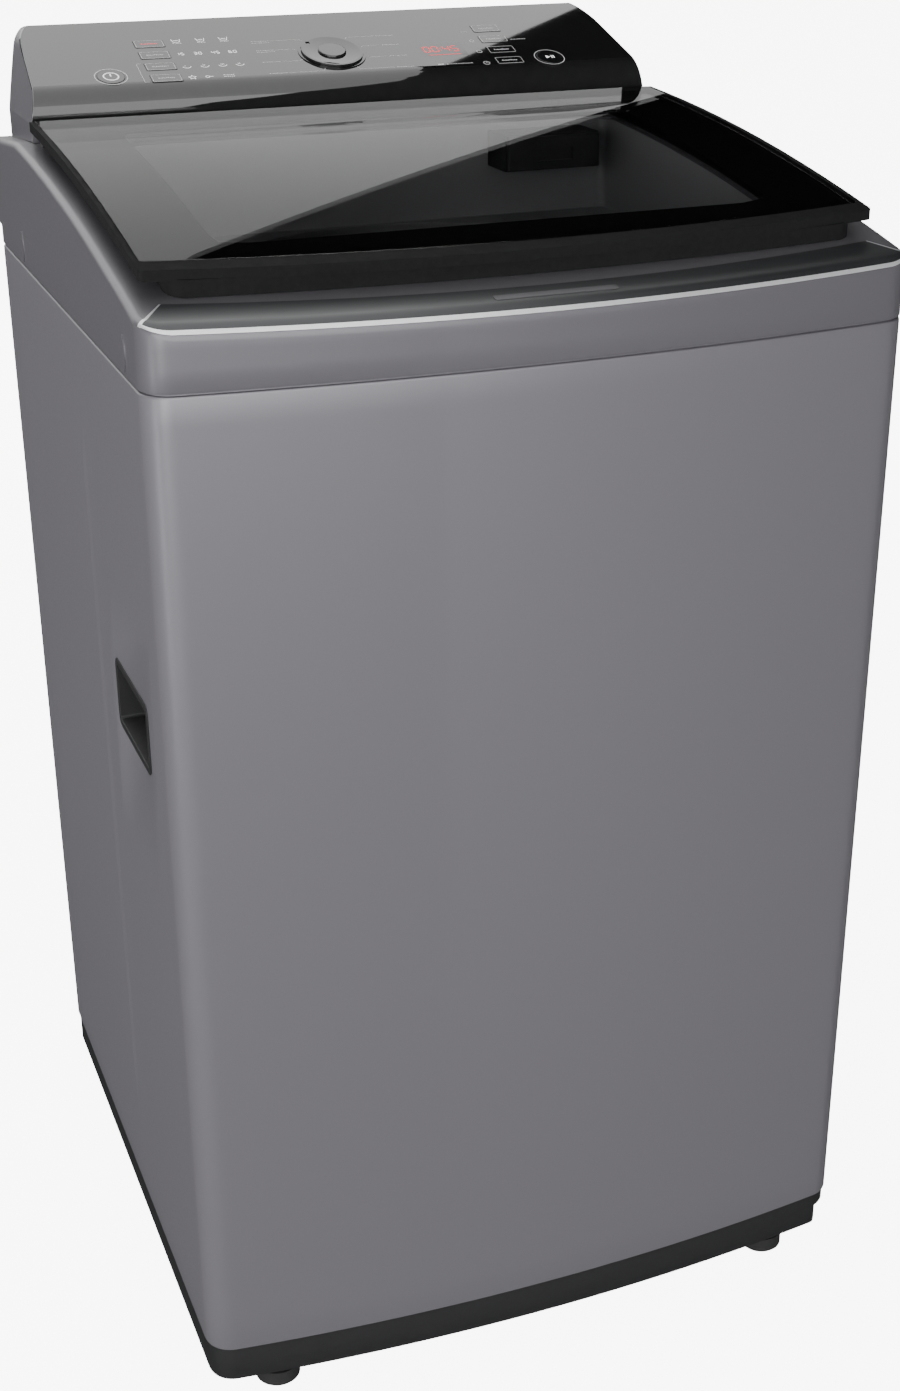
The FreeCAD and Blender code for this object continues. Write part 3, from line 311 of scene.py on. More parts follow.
def spangled(name, color):
    """Zinc-coated sheet: large flat crystals of slightly different grey."""
    made = material(name, color, 0.42, 0.7, bump=(90.0, 0.05))
    nodes, links = made.node_tree.nodes, made.node_tree.links
    shader = nodes["Principled BSDF"]
    cells = nodes.new("ShaderNodeTexVoronoi")
    set_inputs(cells, Scale=210.0)
    tone = nodes.new("ShaderNodeMapRange")
    set_inputs(tone, To_Min=0.40, To_Max=0.50)
    grey = nodes.new("ShaderNodeCombineColor")
    split = nodes.new("ShaderNodeSeparateColor")
    place = nodes["Texture Coordinate"]
    links.new(place.outputs["Object"], cells.inputs["Vector"])
    links.new(cells.outputs["Color"], split.inputs["Color"])
    links.new(split.outputs["Red"], tone.inputs["Value"])
    for channel in ("Red", "Green", "Blue"):
        links.new(tone.outputs["Result"], grey.inputs[channel])
    links.new(grey.outputs["Color"], shader.inputs["Base Color"])
    return made


def perforated(name, color, radius, pitch, hole):
    """Stainless drum wall with a staggered pattern of holes drawn as near-black discs, painted shade for
    the gap behind each, in the drum's own polar coordinates.
    """
    made = material(name, color, 0.27, 1.0, grain=(60.0, 0.05), bump=(30.0, 0.08),
                    stretch=(1, 1, 60))
    nodes, links = made.node_tree.nodes, made.node_tree.links
    shader = nodes["Principled BSDF"]

    def maths(operation, a, b=None, c=None):
        node = nodes.new("ShaderNodeMath")
        node.operation = operation
        for index, value in enumerate((a, b, c)):
            if isinstance(value, (int, float)):
                node.inputs[index].default_value = value
            elif value is not None:
                links.new(value, node.inputs[index])
        return node.outputs["Value"]

    split = nodes.new("ShaderNodeSeparateXYZ")
    links.new(nodes["Texture Coordinate"].outputs["Object"], split.inputs["Vector"])
    angle = maths("ARCTAN2", maths("SUBTRACT", split.outputs["Y"], AXIS_Y * MM), split.outputs["X"])
    along = maths("MULTIPLY", angle, radius / pitch)
    up = maths("DIVIDE", split.outputs["Z"], pitch)
    row = maths("FLOOR", up)
    shift = maths("MULTIPLY", maths("MODULO", row, 2.0), 0.5)
    du = maths("SUBTRACT", maths("FRACT", maths("ADD", along, shift)), 0.5)
    dv = maths("SUBTRACT", maths("FRACT", up), 0.5)
    distance = maths("SQRT", maths("ADD", maths("MULTIPLY", du, du), maths("MULTIPLY", dv, dv)))
    painted_shade_holes = maths("LESS_THAN", distance, hole / pitch)
    mix = nodes.new("ShaderNodeMix")
    mix.data_type = "RGBA"
    links.new(shader.inputs["Base Color"].links[0].from_socket, mix.inputs["A"])
    # near-black in the holes: painted shade of the dark gap behind them
    set_inputs(mix, B=(0.012, 0.012, 0.013, 1.0))
    links.new(painted_shade_holes, mix.inputs["Factor"])
    links.new(mix.outputs["Result"], shader.inputs["Base Color"])
    links.new(maths("SUBTRACT", 1.0, painted_shade_holes), shader.inputs["Metallic"])
    return made


def slot_materials():
    """The look of every material slot that the record names."""
    paint = dict(roughness=0.4, metallic=0.25, grain=(2600.0, 0.05), bump=(700.0, 0.03),
                 Coat_Weight=0.12, Coat_Roughness=0.25)
    moulded = dict(roughness=0.5, bump=(1400.0, 0.25))
    return {
        "cabinet_paint": material("cabinet_paint", (0.207, 0.199, 0.220), **paint),
        "cover_paint": material("cover_paint", (0.158, 0.152, 0.168), **paint),
        "galvanised_sheet": spangled("galvanised_sheet", (0.42, 0.43, 0.44)),
        "zinc_steel": material("zinc_steel", (0.58, 0.58, 0.57), 0.33, 1.0, grain=(120.0, 0.08),
                               bump=(500.0, 0.1)),
        "drum_steel": perforated("drum_steel", (0.62, 0.63, 0.64), radius=0.212, pitch=0.013,
                                 hole=0.0026),
        "trim_metal": material("trim_metal", (0.034, 0.036, 0.038), 0.34, 0.2, grain=(300.0, 0.08),
                               bump=(900.0, 0.05), stretch=BRUSHED),
        "bright_metal": material("bright_metal", (0.72, 0.73, 0.76), 0.22, 1.0, grain=(250.0, 0.05),
                                 bump=(900.0, 0.04), stretch=BRUSHED),
        "smoked_glass": material("smoked_glass", (0.003, 0.003, 0.0035), 0.007, 0.0, grain=(30.0, 0.1),
                                 Alpha=0.35, IOR=1.52),
        "display_glass": material("display_glass", (0.012, 0.006, 0.006), 0.04, grain=(60.0, 0.1)),
        "gloss_black": material("gloss_black", (0.006, 0.006, 0.0065), 0.16, grain=(200.0, 0.2),
                                Specular_IOR_Level=0.35),
        "panel_black": material("panel_black", (0.028, 0.028, 0.0285), 0.02, grain=(90.0, 0.2)),
        "black_plastic": material("black_plastic", (0.022, 0.022, 0.023), grain=(500.0, 0.12), **moulded),
        "grey_plastic": material("grey_plastic", (0.30, 0.31, 0.33), grain=(300.0, 0.03), **moulded),
        "well_plastic": material("well_plastic", (0.47, 0.472, 0.485), grain=(300.0, 0.05), **moulded),
        "tub_plastic": material("tub_plastic", (0.55, 0.56, 0.58), grain=(200.0, 0.04), **moulded),
        "white_plastic": material("white_plastic", (0.74, 0.74, 0.71), grain=(200.0, 0.03), **moulded),
        "board_green": material("board_green", (0.02, 0.13, 0.05), 0.35, grain=(420.0, 0.5),
                                bump=(420.0, 0.3)),
        "foot_rubber": material("foot_rubber", (0.018, 0.018, 0.018), 0.72, grain=(600.0, 0.2),
                                bump=(1200.0, 0.35)),
        "belt_rubber": material("belt_rubber", (0.02, 0.02, 0.02), 0.8, grain=(600.0, 0.2),
                                bump=(700.0, 0.4)),
        "cast_alloy": material("cast_alloy", (0.5, 0.5, 0.51), 0.5, 0.9, grain=(200.0, 0.1),
                               bump=(420.0, 0.5)),
        "motor_paint": material("motor_paint", (0.02, 0.02, 0.023), 0.38, 0.1, grain=(200.0, 0.1),
                                bump=(600.0, 0.15)),
    }


def ink(name, color, glow=0.0):
    """Printed or lit marking. On a lit marking the glow is the LED's own light; on printed ink it is
    painted light.
    """
    made = material(name, color, 0.45, grain=(900.0, 0.06))
    if glow:
        shader = made.node_tree.nodes["Principled BSDF"]
        set_inputs(shader, Emission_Color=(*color, 1.0), Emission_Strength=glow)
    return made


# ---------------------------------------------------------------- mesh helpers

WELD_GAP = 0.01                 # points nearer than this become one
SOFT_WELD_GAP, FLAT_ANGLE = 0.002, 0.6


def placed(name, mesh, sharp):
    """An object for a mesh, smooth but for the edges that turn by more than sharp degrees."""
    mesh.polygons.foreach_set("use_smooth", [True] * len(mesh.polygons))
    mesh.set_sharp_from_angle(angle=math.radians(sharp))
    return add_object(name, mesh)


def make_piece(name, points, faces, body, materials, replaces=(), marks=None, sharp=35.0):
    """A mesh from points in millimetres; marks gives each face's material number.

    A piece without a body is left unattached.
    """
    mesh = bpy.data.meshes.new(name)
    mesh.from_pydata([(x * MM, y * MM, z * MM) for x, y, z in points], [], faces)
    for made in materials:
        mesh.materials.append(made)
    if marks:
        mesh.polygons.foreach_set("material_index", marks)
    build = bmesh.new()
    build.from_mesh(mesh)
    bmesh.ops.remove_doubles(build, verts=build.verts, dist=WELD_GAP * MM)
    bmesh.ops.recalc_face_normals(build, faces=build.faces)
    build.to_mesh(mesh)
    build.free()
    piece = placed(name, mesh, sharp)
    if body:
        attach(piece, body)
    if replaces:
        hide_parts(*replaces)
    return piece


def loft(rings, closed=True, skip=None):
    """Quads between rings that have the same number of points; skip(row, column) leaves one out."""
    points = [p for ring in rings for p in ring]
    count = len(rings[0])
    faces = []
    for row in range(len(rings) - 1):
        for column in range(count if closed else count - 1):
            if skip and skip(row, column):
                continue
            after = (column + 1) % count
            a, b = row * count, (row + 1) * count
            faces.append((a + column, a + after, b + after, b + column))
    return points, faces


def joined(parts):
    """Several (points, faces) as one."""
    points, faces = [], []
    for more_points, more_faces in parts:
        start = len(points)
        points += more_points
        faces += [tuple(start + i for i in face) for face in more_faces]
    return points, faces


def bevel(piece, width):
    modifier = piece.modifiers.new("bevel", "BEVEL")
    modifier.width = width * MM
    modifier.segments = 2
    modifier.limit_method = "ANGLE"
    modifier.angle_limit = math.radians(30.0)
    modifier.harden_normals = True


def thicken(piece, name, thickness):
    """Gives a sheet its thickness, inwards from its outer face."""
    modifier = piece.modifiers.new(name, "SOLIDIFY")
    modifier.thickness = thickness * MM
    modifier.offset = -1.0


def softened(node, width=0.6):
    """A copy of a CAD node with its hard edges rounded off, in place of the node."""
    mesh = NODES[node].data.copy()
    build = bmesh.new()
    build.from_mesh(mesh)
    bmesh.ops.remove_doubles(build, verts=build.verts, dist=SOFT_WELD_GAP * MM)
    bmesh.ops.dissolve_limit(build, angle_limit=math.radians(FLAT_ANGLE), verts=build.verts,
                             edges=build.edges)
    build.to_mesh(mesh)
    build.free()
    piece = placed(node + "_soft", mesh, 30.0)
    mesh.materials.clear()
    mesh.materials.append(LOOKS[SLOT_OF[node]])
    bevel(piece, width)
    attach(piece, BODY_OF[node])
    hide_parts(node)
    return piece


def spaced(start, end, count):
    return [start + (end - start) * k / (count - 1) for k in range(count)]


def eased(value, start, end):
    """0 before start, 1 after end, and smooth between."""
    t = min(1.0, max(0.0, (value - start) / (end - start)))
    return t * t * (3 - 2 * t)


def curve_z(y):
    """Height of the lid's glass: a parabola through three points."""
    (y0, z0), (y1, z1), (y2, z2) = LID_CURVE
    a = z0 * (y - y1) * (y - y2) / ((y0 - y1) * (y0 - y2))
    b = z1 * (y - y0) * (y - y2) / ((y1 - y0) * (y1 - y2))
    c = z2 * (y - y0) * (y - y1) / ((y2 - y0) * (y2 - y1))
    return a + b + c


def deck_z(y):
    """Height of the top cover's deck."""
    if y <= DECK_TURN_Y:
        return curve_z(y) - DECK_DROP
    return curve_z(DECK_TURN_Y) - DECK_DROP - (y - DECK_TURN_Y) * DECK_REAR_SLOPE


# ---------------------------------------------------------------- the plan that cabinet and cover share

FRONT_R = (HALF_W ** 2 + BOW ** 2) / (2 * BOW)
FRONT_CENTRE_Y = FRONT_Y + FRONT_R
SIDE_FACING = 0.99              # the normal's x is beyond this on a straight side
CREASE_FRONT, CREASE_BACK = (-48.0, -36.0), (218.0, 230.0)    # soft edges of the pressed side, in y
CREASE_Z = (110.0, 180.0, 680.0, 750.0)                       # where the pressing fades in and out
CREASE_DEPTH = 1.0

BASE_INSET, BASE_TIER_INSET = 1.6, 10.4
BASE_TIER_TURN = (0.2, 0.9)     # the normal's x where the lower tier starts to set in, and is in
BASE_ROWS = ((51.6, 0, 0.0), (40.5, 0, 0.0), (39.5, 1, 0.0), (23.5, 1, 0.0),
             (21.8, 1, 0.8), (21.0, 1, 2.6), (21.0, 1, 11.0))    # z, 1 below the rim, extra inset


def side_stations():
    """y values down the side, from back to front, with lines at the handle and the pressed panel."""
    stations = spaced(CREASE_BACK[1] + 4.0, CREASE_BACK[0] - 4.0, 7) + [150.0, 90.0, 30.0]
    stations += spaced(CREASE_FRONT[1] + 3.0, CREASE_FRONT[0] - 3.0, 7)
    return stations + [-75.0, HANDLE_Y[1] - 3.0, HANDLE_Y[0] + 3.0, -215.0]


def make_plan():
    """Points (x, y, nx, ny) round the plan, from the back's left flange round the front to its right."""
    corner_x = HALF_W - FRONT_CORNER_R
    corner_y = FRONT_CENTRE_Y - math.sqrt((FRONT_R - FRONT_CORNER_R) ** 2 - corner_x ** 2)
    lean = math.atan2(corner_x, FRONT_CENTRE_Y - corner_y)
    left = [(-HALF_W + REAR_FLANGE, BACK_Y, 0.0, 1.0)]
    for angle in spaced(90.0, 180.0, 6):
        c, s = math.cos(math.radians(angle)), math.sin(math.radians(angle))
        left.append((-HALF_W + BACK_CORNER_R * (1 + c), BACK_Y - BACK_CORNER_R * (1 - s), c, s))
    left += [(-HALF_W, y, -1.0, 0.0) for y in side_stations()]
    for angle in spaced(math.pi, 1.5 * math.pi - lean, 12):
        c, s = math.cos(angle), math.sin(angle)
        left.append((-corner_x + FRONT_CORNER_R * c, corner_y + FRONT_CORNER_R * s, c, s))
    front = []
    for angle in spaced(-lean, lean, 41)[1:-1]:
        s, c = math.sin(angle), math.cos(angle)
        front.append((FRONT_R * s, FRONT_CENTRE_Y - FRONT_R * c, s, -c))
    right = [(-x, y, -nx, ny) for x, y, nx, ny in reversed(left)]
    return left + front + right


PLAN = make_plan()


def plan_ring(inset, z, back_shift=0.0):
    """The plan at a height, set in from the wall; back_shift moves only the back."""
    ring = []
    for x, y, nx, ny in PLAN:
        shift = back_shift if y > CREASE_BACK[1] + 4.0 or ny > 0.01 else 0.0
        ring.append((x - nx * inset, y - ny * inset + shift, z))
    return ring


# ---------------------------------------------------------------- cabinet

def cabinet_rows():
    """(inset, z) of the cabinet's rings, with a rolled hem at the foot and the top."""
    low, top = CABINET_Z, SEAM_Z
    rows = [(2.4, low + 9), (2.4, low), (1.3, low), (0.4, low + 0.4), (0.0, low + 1.4)]
    heights = [80.0, 98.0] + spaced(CREASE_Z[0], CREASE_Z[1], 7)
    heights += [300.0, 420.0, HANDLE_Z[0] + 3.0, HANDLE_Z[1] - 3.0, 620.0]
    heights += spaced(CREASE_Z[2], CREASE_Z[3], 7) + [775.0, top - 2.2]
    rows += [(0.0, z) for z in heights]
    return rows + [(0.25, top - 1.2), (0.9, top - 0.6), (1.8, top - 0.4), (2.9, top - 0.4),
                   (2.9, top + 3.5)]


def make_cabinet():
    """Painted wrapper: bowed front, faintly pressed sides and openings for the side handles."""
    rows = cabinet_rows()
    rings = []
    for inset, z in rows:
        height = eased(z, *CREASE_Z[:2]) * (1 - eased(z, *CREASE_Z[2:]))
        ring = []
        for (_, y, nx, _), (px, py, pz) in zip(PLAN, plan_ring(inset, z)):
            raised = 0.0
            if abs(nx) > SIDE_FACING:
                raised = eased(y, *CREASE_FRONT) * (1 - eased(y, *CREASE_BACK)) * height
            ring.append((px + nx * raised * CREASE_DEPTH, py, pz))
        rings.append(ring)

    def handle_hole(row, column):
        low, high = rows[row][1], rows[row + 1][1]
        ys = sorted((PLAN[column][1], PLAN[column + 1][1]))
        beside = min(abs(PLAN[column][2]), abs(PLAN[column + 1][2])) > SIDE_FACING
        return (beside and low >= HANDLE_Z[0] and high <= HANDLE_Z[1]
                and ys[0] >= HANDLE_Y[0] and ys[1] <= HANDLE_Y[1])

    points, faces = loft(rings, closed=False, skip=handle_hole)
    piece = make_piece("cabinet_shell", points, faces, "root",
                       [LOOKS["cabinet_paint"]], ["cabinet"])
    thicken(piece, "sheet", SHEET_T)


def make_base_skirt():
    """Moulded skirt of the base: a flush rim, and a lower tier set in on the right."""
    rings = []
    for z, tier, extra in BASE_ROWS:
        ring = []
        for x, y, nx, ny in PLAN:
            inset = BASE_INSET + extra + tier * BASE_TIER_INSET * eased(nx, *BASE_TIER_TURN)
            ring.append((x - nx * inset, y - ny * inset, z))
        rings.append(ring)
    points, faces = loft(rings)
    make_piece("base_skirt", points, faces, "root", [LOOKS["black_plastic"]])


# ---------------------------------------------------------------- top cover, well and trim

WELL_MIDDLE_Y = (WELL_FRONT_Y + WELL_BACK_Y) / 2
WELL_LIP = 1.5                  # the deck turns down into the well over this width
COVER_FOOT = ((3.4, 6.0), (3.4, 0.7), (1.2, 0.7), (0.35, 1.1), (0.0, 2.2))    # inset, z above the seam


def well_edge(angle, grow=0.0):
    """Point on the well's rounded outline in a direction from its middle."""
    half_y = (WELL_BACK_Y - WELL_FRONT_Y) / 2 + grow
    half_x = WELL_HALF_W + grow
    c, s = math.cos(angle), math.sin(angle)
    r = (WELL_FRONT_R if s < 0 else WELL_BACK_R) + grow
    near, far = 0.0, 2 * HALF_W
    for _ in range(40):
        reach = (near + far) / 2
        qx, qy = abs(reach * c) - (half_x - r), abs(reach * s) - (half_y - r)
        outside = math.hypot(max(qx, 0.0), max(qy, 0.0)) + min(max(qx, qy), 0.0) - r
        near, far = (near, reach) if outside > 0 else (reach, far)
    return near * c, WELL_MIDDLE_Y + near * s


def shoulder(nx, turn):
    """Inset and drop of the cover's rounded shoulder; turn goes from 0 on the wall to 1 on the deck."""
    side = abs(nx)
    inset = FRONT_SHOULDER[0] + (SIDE_SHOULDER[0] - FRONT_SHOULDER[0]) * side
    drop = FRONT_SHOULDER[1] + (SIDE_SHOULDER[1] - FRONT_SHOULDER[1]) * side
    angle = turn * math.pi / 2
    return inset * (1 - math.cos(angle)), drop * (1 - math.sin(angle))


def cover_point(p, turn, back_shift, proud=0.0):
    """Point of the shoulder above a point of the plan, raised from the surface by proud."""
    x, y, nx, ny = p
    inset, drop = shoulder(nx, turn)
    px, py = x - nx * inset, y - ny * inset + back_shift * (1.0 if ny > 0.01 else 0.0)
    angle = turn * math.pi / 2
    out, up = proud * math.cos(angle), proud * math.sin(angle)
    return px + nx * out, py + ny * out, deck_z(py) - drop + up


def make_top_cover():
    """Moulded cover: wall, rear overhang, rounded shoulder, and the deck down to the well."""
    rear = CONSOLE_BACK_Y - BACK_Y
    rings = [plan_ring(inset, SEAM_Z + rise) for inset, rise in COVER_FOOT]
    rings += [plan_ring(0.0, REAR_STEP_Z - 0.6), plan_ring(0.0, REAR_STEP_Z, rear)]
    wall_top = [cover_point(p, 0.0, rear) for p in PLAN]
    low = rings[-1]
    for share in (0.35, 0.7):
        rings.append([(b[0], b[1], a[2] + (b[2] - a[2]) * share) for a, b in zip(low, wall_top)])
    rings += [[cover_point(p, turn, rear) for p in PLAN] for turn in spaced(0.0, 1.0, 10)]
    outer = rings[-1]
    angles = [math.atan2(y - WELL_MIDDLE_Y, x) for x, y, _ in outer]
    edge = [well_edge(angle, WELL_LIP) for angle in angles]
    for share in spaced(0.0, 1.0, 9)[1:]:
        ring = []
        for (x, y, _), (ex, ey) in zip(outer, edge):
            px, py = x + (ex - x) * share, y + (ey - y) * share
            ring.append((px, py, deck_z(py)))
        rings.append(ring)
    inner = [well_edge(angle) for angle in angles]
    between = [((a + c) / 2, (b + d) / 2) for (a, b), (c, d) in zip(edge, inner)]
    rings += [[(x, y, deck_z(y) - depth) for x, y in outline]
              for outline, depth in ((between, 0.8), (inner, 1.5), (inner, 3.2))]
    points, faces = loft(rings)
    make_piece("top_cover_shell", points, faces, "root", [LOOKS["cover_paint"]],
               ["top_cover"])


def make_trim():
    """Dark strip across the front of the deck; its rounded front edge and its ends take a pale colour, a
    painted highlight.
    """
    front_facing = -0.35
    chosen = [p for p in PLAN if p[3] < front_facing]
    turns = spaced(0.3, 1.0, 8)
    rings = []
    for p in chosen:
        x = p[0] * TRIM_HALF_W / abs(chosen[0][0])
        rear_y = TRIM_REAR_Y + TRIM_REAR_BOW * (x / TRIM_BOW_HALF_W) ** 2
        column = [cover_point(p, turn, 0.0, TRIM_PROUD) for turn in turns]
        top = column[-1]
        rear = (x, rear_y, deck_z(rear_y) + TRIM_PROUD)
        for share in spaced(0.0, 1.0, 5)[1:]:
            y = top[1] + (rear[1] - top[1]) * share
            column.append((top[0] + (rear[0] - top[0]) * share, y, deck_z(y) + TRIM_PROUD))
        column.append((rear[0], rear[1] + 0.3, rear[2] - 0.9))
        first = column[0]
        rings.append([(first[0], first[1] + 0.6, first[2] - 0.5)] + column)
    points, faces = loft(rings, closed=False)
    rows = len(rings[0]) - 1
    painted_highlight_rows = 2
    last = len(rings) - 2
    marks = []
    for index in range(len(faces)):
        column, row = divmod(index, rows)
        # the rounded front edge and both ends get the pale material: a painted highlight
        rim = 1 <= row <= painted_highlight_rows or column in (0, last)
        marks.append(1 if rim else 0)
    make_piece("trim_strip", points, faces, "root",
               [LOOKS["trim_metal"], TRIM_EDGE_PAINTED_HIGHLIGHT], ["front_trim"], marks)


# ---------------------------------------------------------------- lid

def glass_front_y(x):
    """The glass's bowed front edge."""
    sag = GLASS_CORNER_Y - GLASS_FRONT_Y
    radius = (GLASS_HALF_W * GLASS_HALF_W + sag * sag) / (2 * sag)
    return GLASS_FRONT_Y + radius - math.sqrt(radius * radius - x * x)


def glass_sheet(columns=49, rows=37):
    """Grid of the glass's top face."""
    back = LID_CURVE[0][0]
    points, faces = [], []
    for row in range(rows):
        for column in range(columns):
            x = -GLASS_HALF_W + 2 * GLASS_HALF_W * column / (columns - 1)
            y = back + (glass_front_y(x) - back) * row / (rows - 1)
            points.append((x, y, curve_z(y)))
    for row in range(rows - 1):
        for column in range(columns - 1):
            a = row * columns + column
            faces.append((a, a + 1, a + columns + 1, a + columns))
    return points, faces


def make_lid():
    """Curved smoked glass over its black print, and the softened frame."""
    points, faces = glass_sheet()
    glass = make_piece("lid_glass_pane", points, faces, "lid",
                       [LOOKS["smoked_glass"]], ["lid_glass"])
    thicken(glass, "pane", GLASS_T)
    bevel(glass, 0.6)
    make_border()
    softened("lid_frame", 0.7).data.materials[0] = LID_BLACK


def make_border():
    """Black print on the underside of the glass, open at the window."""
    mid_y = (WINDOW_Y[0] + WINDOW_Y[1]) / 2
    half_y = (WINDOW_Y[1] - WINDOW_Y[0]) / 2
    corner_x, corner_y = WINDOW_HALF_W - WINDOW_R, half_y - WINDOW_R
    far_x = GLASS_HALF_W - PRINT_MARGIN
    far_front = mid_y - (GLASS_CORNER_Y + PRINT_MARGIN)
    far_back = LID_CURVE[0][0] - PRINT_MARGIN - mid_y
    tiny = 1e-6
    rings = [[], []]
    steps = 96
    for k in range(steps):
        angle = 2 * math.pi * k / steps
        c, s = math.cos(angle), math.sin(angle)
        across, along = max(abs(c), tiny), max(abs(s), tiny)
        reach = min(WINDOW_HALF_W / across, half_y / along)
        x, y = reach * c, reach * s
        if abs(x) > corner_x and abs(y) > corner_y:
            dx, dy = abs(x) - corner_x, abs(y) - corner_y
            scale = WINDOW_R / math.hypot(dx, dy)
            x = math.copysign(corner_x + dx * scale, x)
            y = math.copysign(corner_y + dy * scale, y)
        rings[0].append((x, mid_y + y))
        stretch = min(far_x / across, (far_back if s > 0 else far_front) / along)
        ox, oy = stretch * c, mid_y + stretch * s
        if s < 0 and abs(ox) < far_x - 0.5:
            oy = glass_front_y(ox) + PRINT_MARGIN
        rings[1].append((ox, oy))
    lofted = []
    for share in spaced(0.0, 1.0, 6):
        ring = []
        for (x0, y0), (x1, y1) in zip(*rings):
            x, y = x0 + (x1 - x0) * share, y0 + (y1 - y0) * share
            ring.append((x, y, curve_z(y) - PRINT_DROP))
        lofted.append(ring)
    points, faces = loft(lofted)
    make_piece("lid_border_print", points, faces, "lid", [PRINT_BLACK])


# ---------------------------------------------------------------- console and its markings

def on_panel(u, v, w=0.0):
    """Point of the sloping panel: u to the right, v up the slope and w out of it."""
    c, s = math.cos(PANEL_TILT), math.sin(PANEL_TILT)
    return u, PANEL_Y + v * c - w * s, PANEL_Z + v * s + w * c


def bar(u0, v0, u1, v1, width):
    """Straight stroke between two points."""
    length = math.hypot(u1 - u0, v1 - v0)
    du, dv = (u1 - u0) / length * width / 2, (v1 - v0) / length * width / 2
    corners = [(u0 - dv, v0 + du), (u0 + dv, v0 - du), (u1 + dv, v1 - du), (u1 - dv, v1 + du)]
    return corners, [(0, 1, 2, 3)]


def arc(u, v, radius, width, start=0.0, end=360.0, steps=40):
    """Ring or part of a ring; angles in degrees."""
    closed = end - start >= 360.0
    angles = spaced(math.radians(start), math.radians(end), steps + 1)[:-1 if closed else None]
    rings = [[(u + r * math.cos(a), v + r * math.sin(a)) for a in angles]
             for r in (radius - width / 2, radius + width / 2)]
    return loft(rings, closed=closed)


def box_frame(u, v, w, h, width, r=1.2):
    """Outline of a rounded rectangle."""
    rings = [[], []]
    for sx, sy, start in ((1, 1, 0), (-1, 1, 90), (-1, -1, 180), (1, -1, 270)):
        for angle in spaced(start, start + 90, 5):
            c, s = math.cos(math.radians(angle)), math.sin(math.radians(angle))
            for ring, grow in zip(rings, (-width, 0.0)):
                ring.append((u + sx * (w / 2 - r) + c * (r + grow),
                             v + sy * (h / 2 - r) + s * (r + grow)))
    return loft(rings)


def path_strokes(points, width, closed=False):
    """Straight strokes from point to point."""
    pairs = list(zip(points, points[1:] + (points[:1] if closed else [])))
    return joined([bar(*a, *b, width) for a, b in pairs if a != b])


# The seven bars of a figure, from corner to corner of a grid one wide and two high.
SEGMENTS = {"a": (0, 2, 1, 2), "b": (1, 1, 1, 2), "c": (1, 0, 1, 1), "d": (0, 0, 1, 0),
            "e": (0, 0, 0, 1), "f": (0, 1, 0, 2), "g": (0, 1, 1, 1)}
DIGITS = {"0": "abcdef", "1": "bc", "2": "abged", "3": "abgcd", "4": "fgbc", "5": "afgcd", "6": "afgedc",
          "7": "abc", "8": "abcdefg", "9": "abcdfg"}


def number(text, u, v, height, width, stroke, pitch=None):
    """Seven-bar figures from a left edge; a colon is two dots."""
    parts, at = [], u
    half, gap, dot_rise = height / 2, stroke * 0.35, height * 0.2
    for sign in text:
        if sign == ":":
            for middle in (v - dot_rise, v + dot_rise):
                parts.append(bar(at, middle - stroke / 2, at, middle + stroke / 2, stroke))
            at += stroke * 2.2
            continue
        for key in DIGITS[sign]:
            x0, y0, x1, y1 = SEGMENTS[key]
            low, high = v + (y0 - 1) * half, v + (y1 - 1) * half
            if x0 == x1:
                parts.append(bar(at + x0 * width, low + gap, at + x1 * width, high - gap, stroke))
            else:
                parts.append(bar(at + gap, low, at + width - gap, high, stroke))
        at += pitch or width + stroke * 2.2
    return joined(parts)


def label(u, v, length, height=1.5):
    """A line of small blocks that stands for a printed label."""
    parts, at, k = [], u, 0
    while at < u + length:
        tall = height * (1.0, 0.72, 0.86, 0.72, 1.0)[k % 5]
        width = (1.1, 0.8, 1.25)[k % 3]
        middle = v - height / 2 + tall / 2
        parts.append(bar(at, middle, at + width, middle, tall * 0.55))
        at += width + 0.45
        k += 1
    return joined(parts)


def marking(name, parts, body, paint, w=MARK_PROUD):
    """Flat marking a hair above the panel, or above a button's cap."""
    flat, faces = joined(parts)
    make_piece(name, [on_panel(u, v, w) for u, v in flat], faces, body, [paint])


def tub_icon(u, v, size=3.6):
    top, low, half = size, size * 0.66, size * 0.7
    outline = [(u - top, v + half), (u - low, v - half), (u + low, v - half), (u + top, v + half)]
    water_u, water_v = top * 0.55, v + size * 0.1
    return joined([path_strokes(outline, 0.55), bar(u - water_u, water_v, u + water_u, water_v, 0.7)])


def bowl_icon(u, v, drops, size=3.4):
    strokes = [arc(u, v + size * 0.2, size, 0.55, 195, 345, 12)]
    for k in range(drops):
        drop_u = u - 1.2 + 1.2 * k
        strokes.append(bar(drop_u, v + 0.2, drop_u, v + 1.6, 0.5))
    return joined(strokes)


def star_icon(u, v, size=3.3):
    points = []
    for k in range(10):
        r = size if k % 2 == 0 else size * 0.45
        a = math.radians(90 + 36 * k)
        points.append((u + r * math.cos(a), v + r * math.sin(a)))
    return path_strokes(points, 0.5, closed=True)


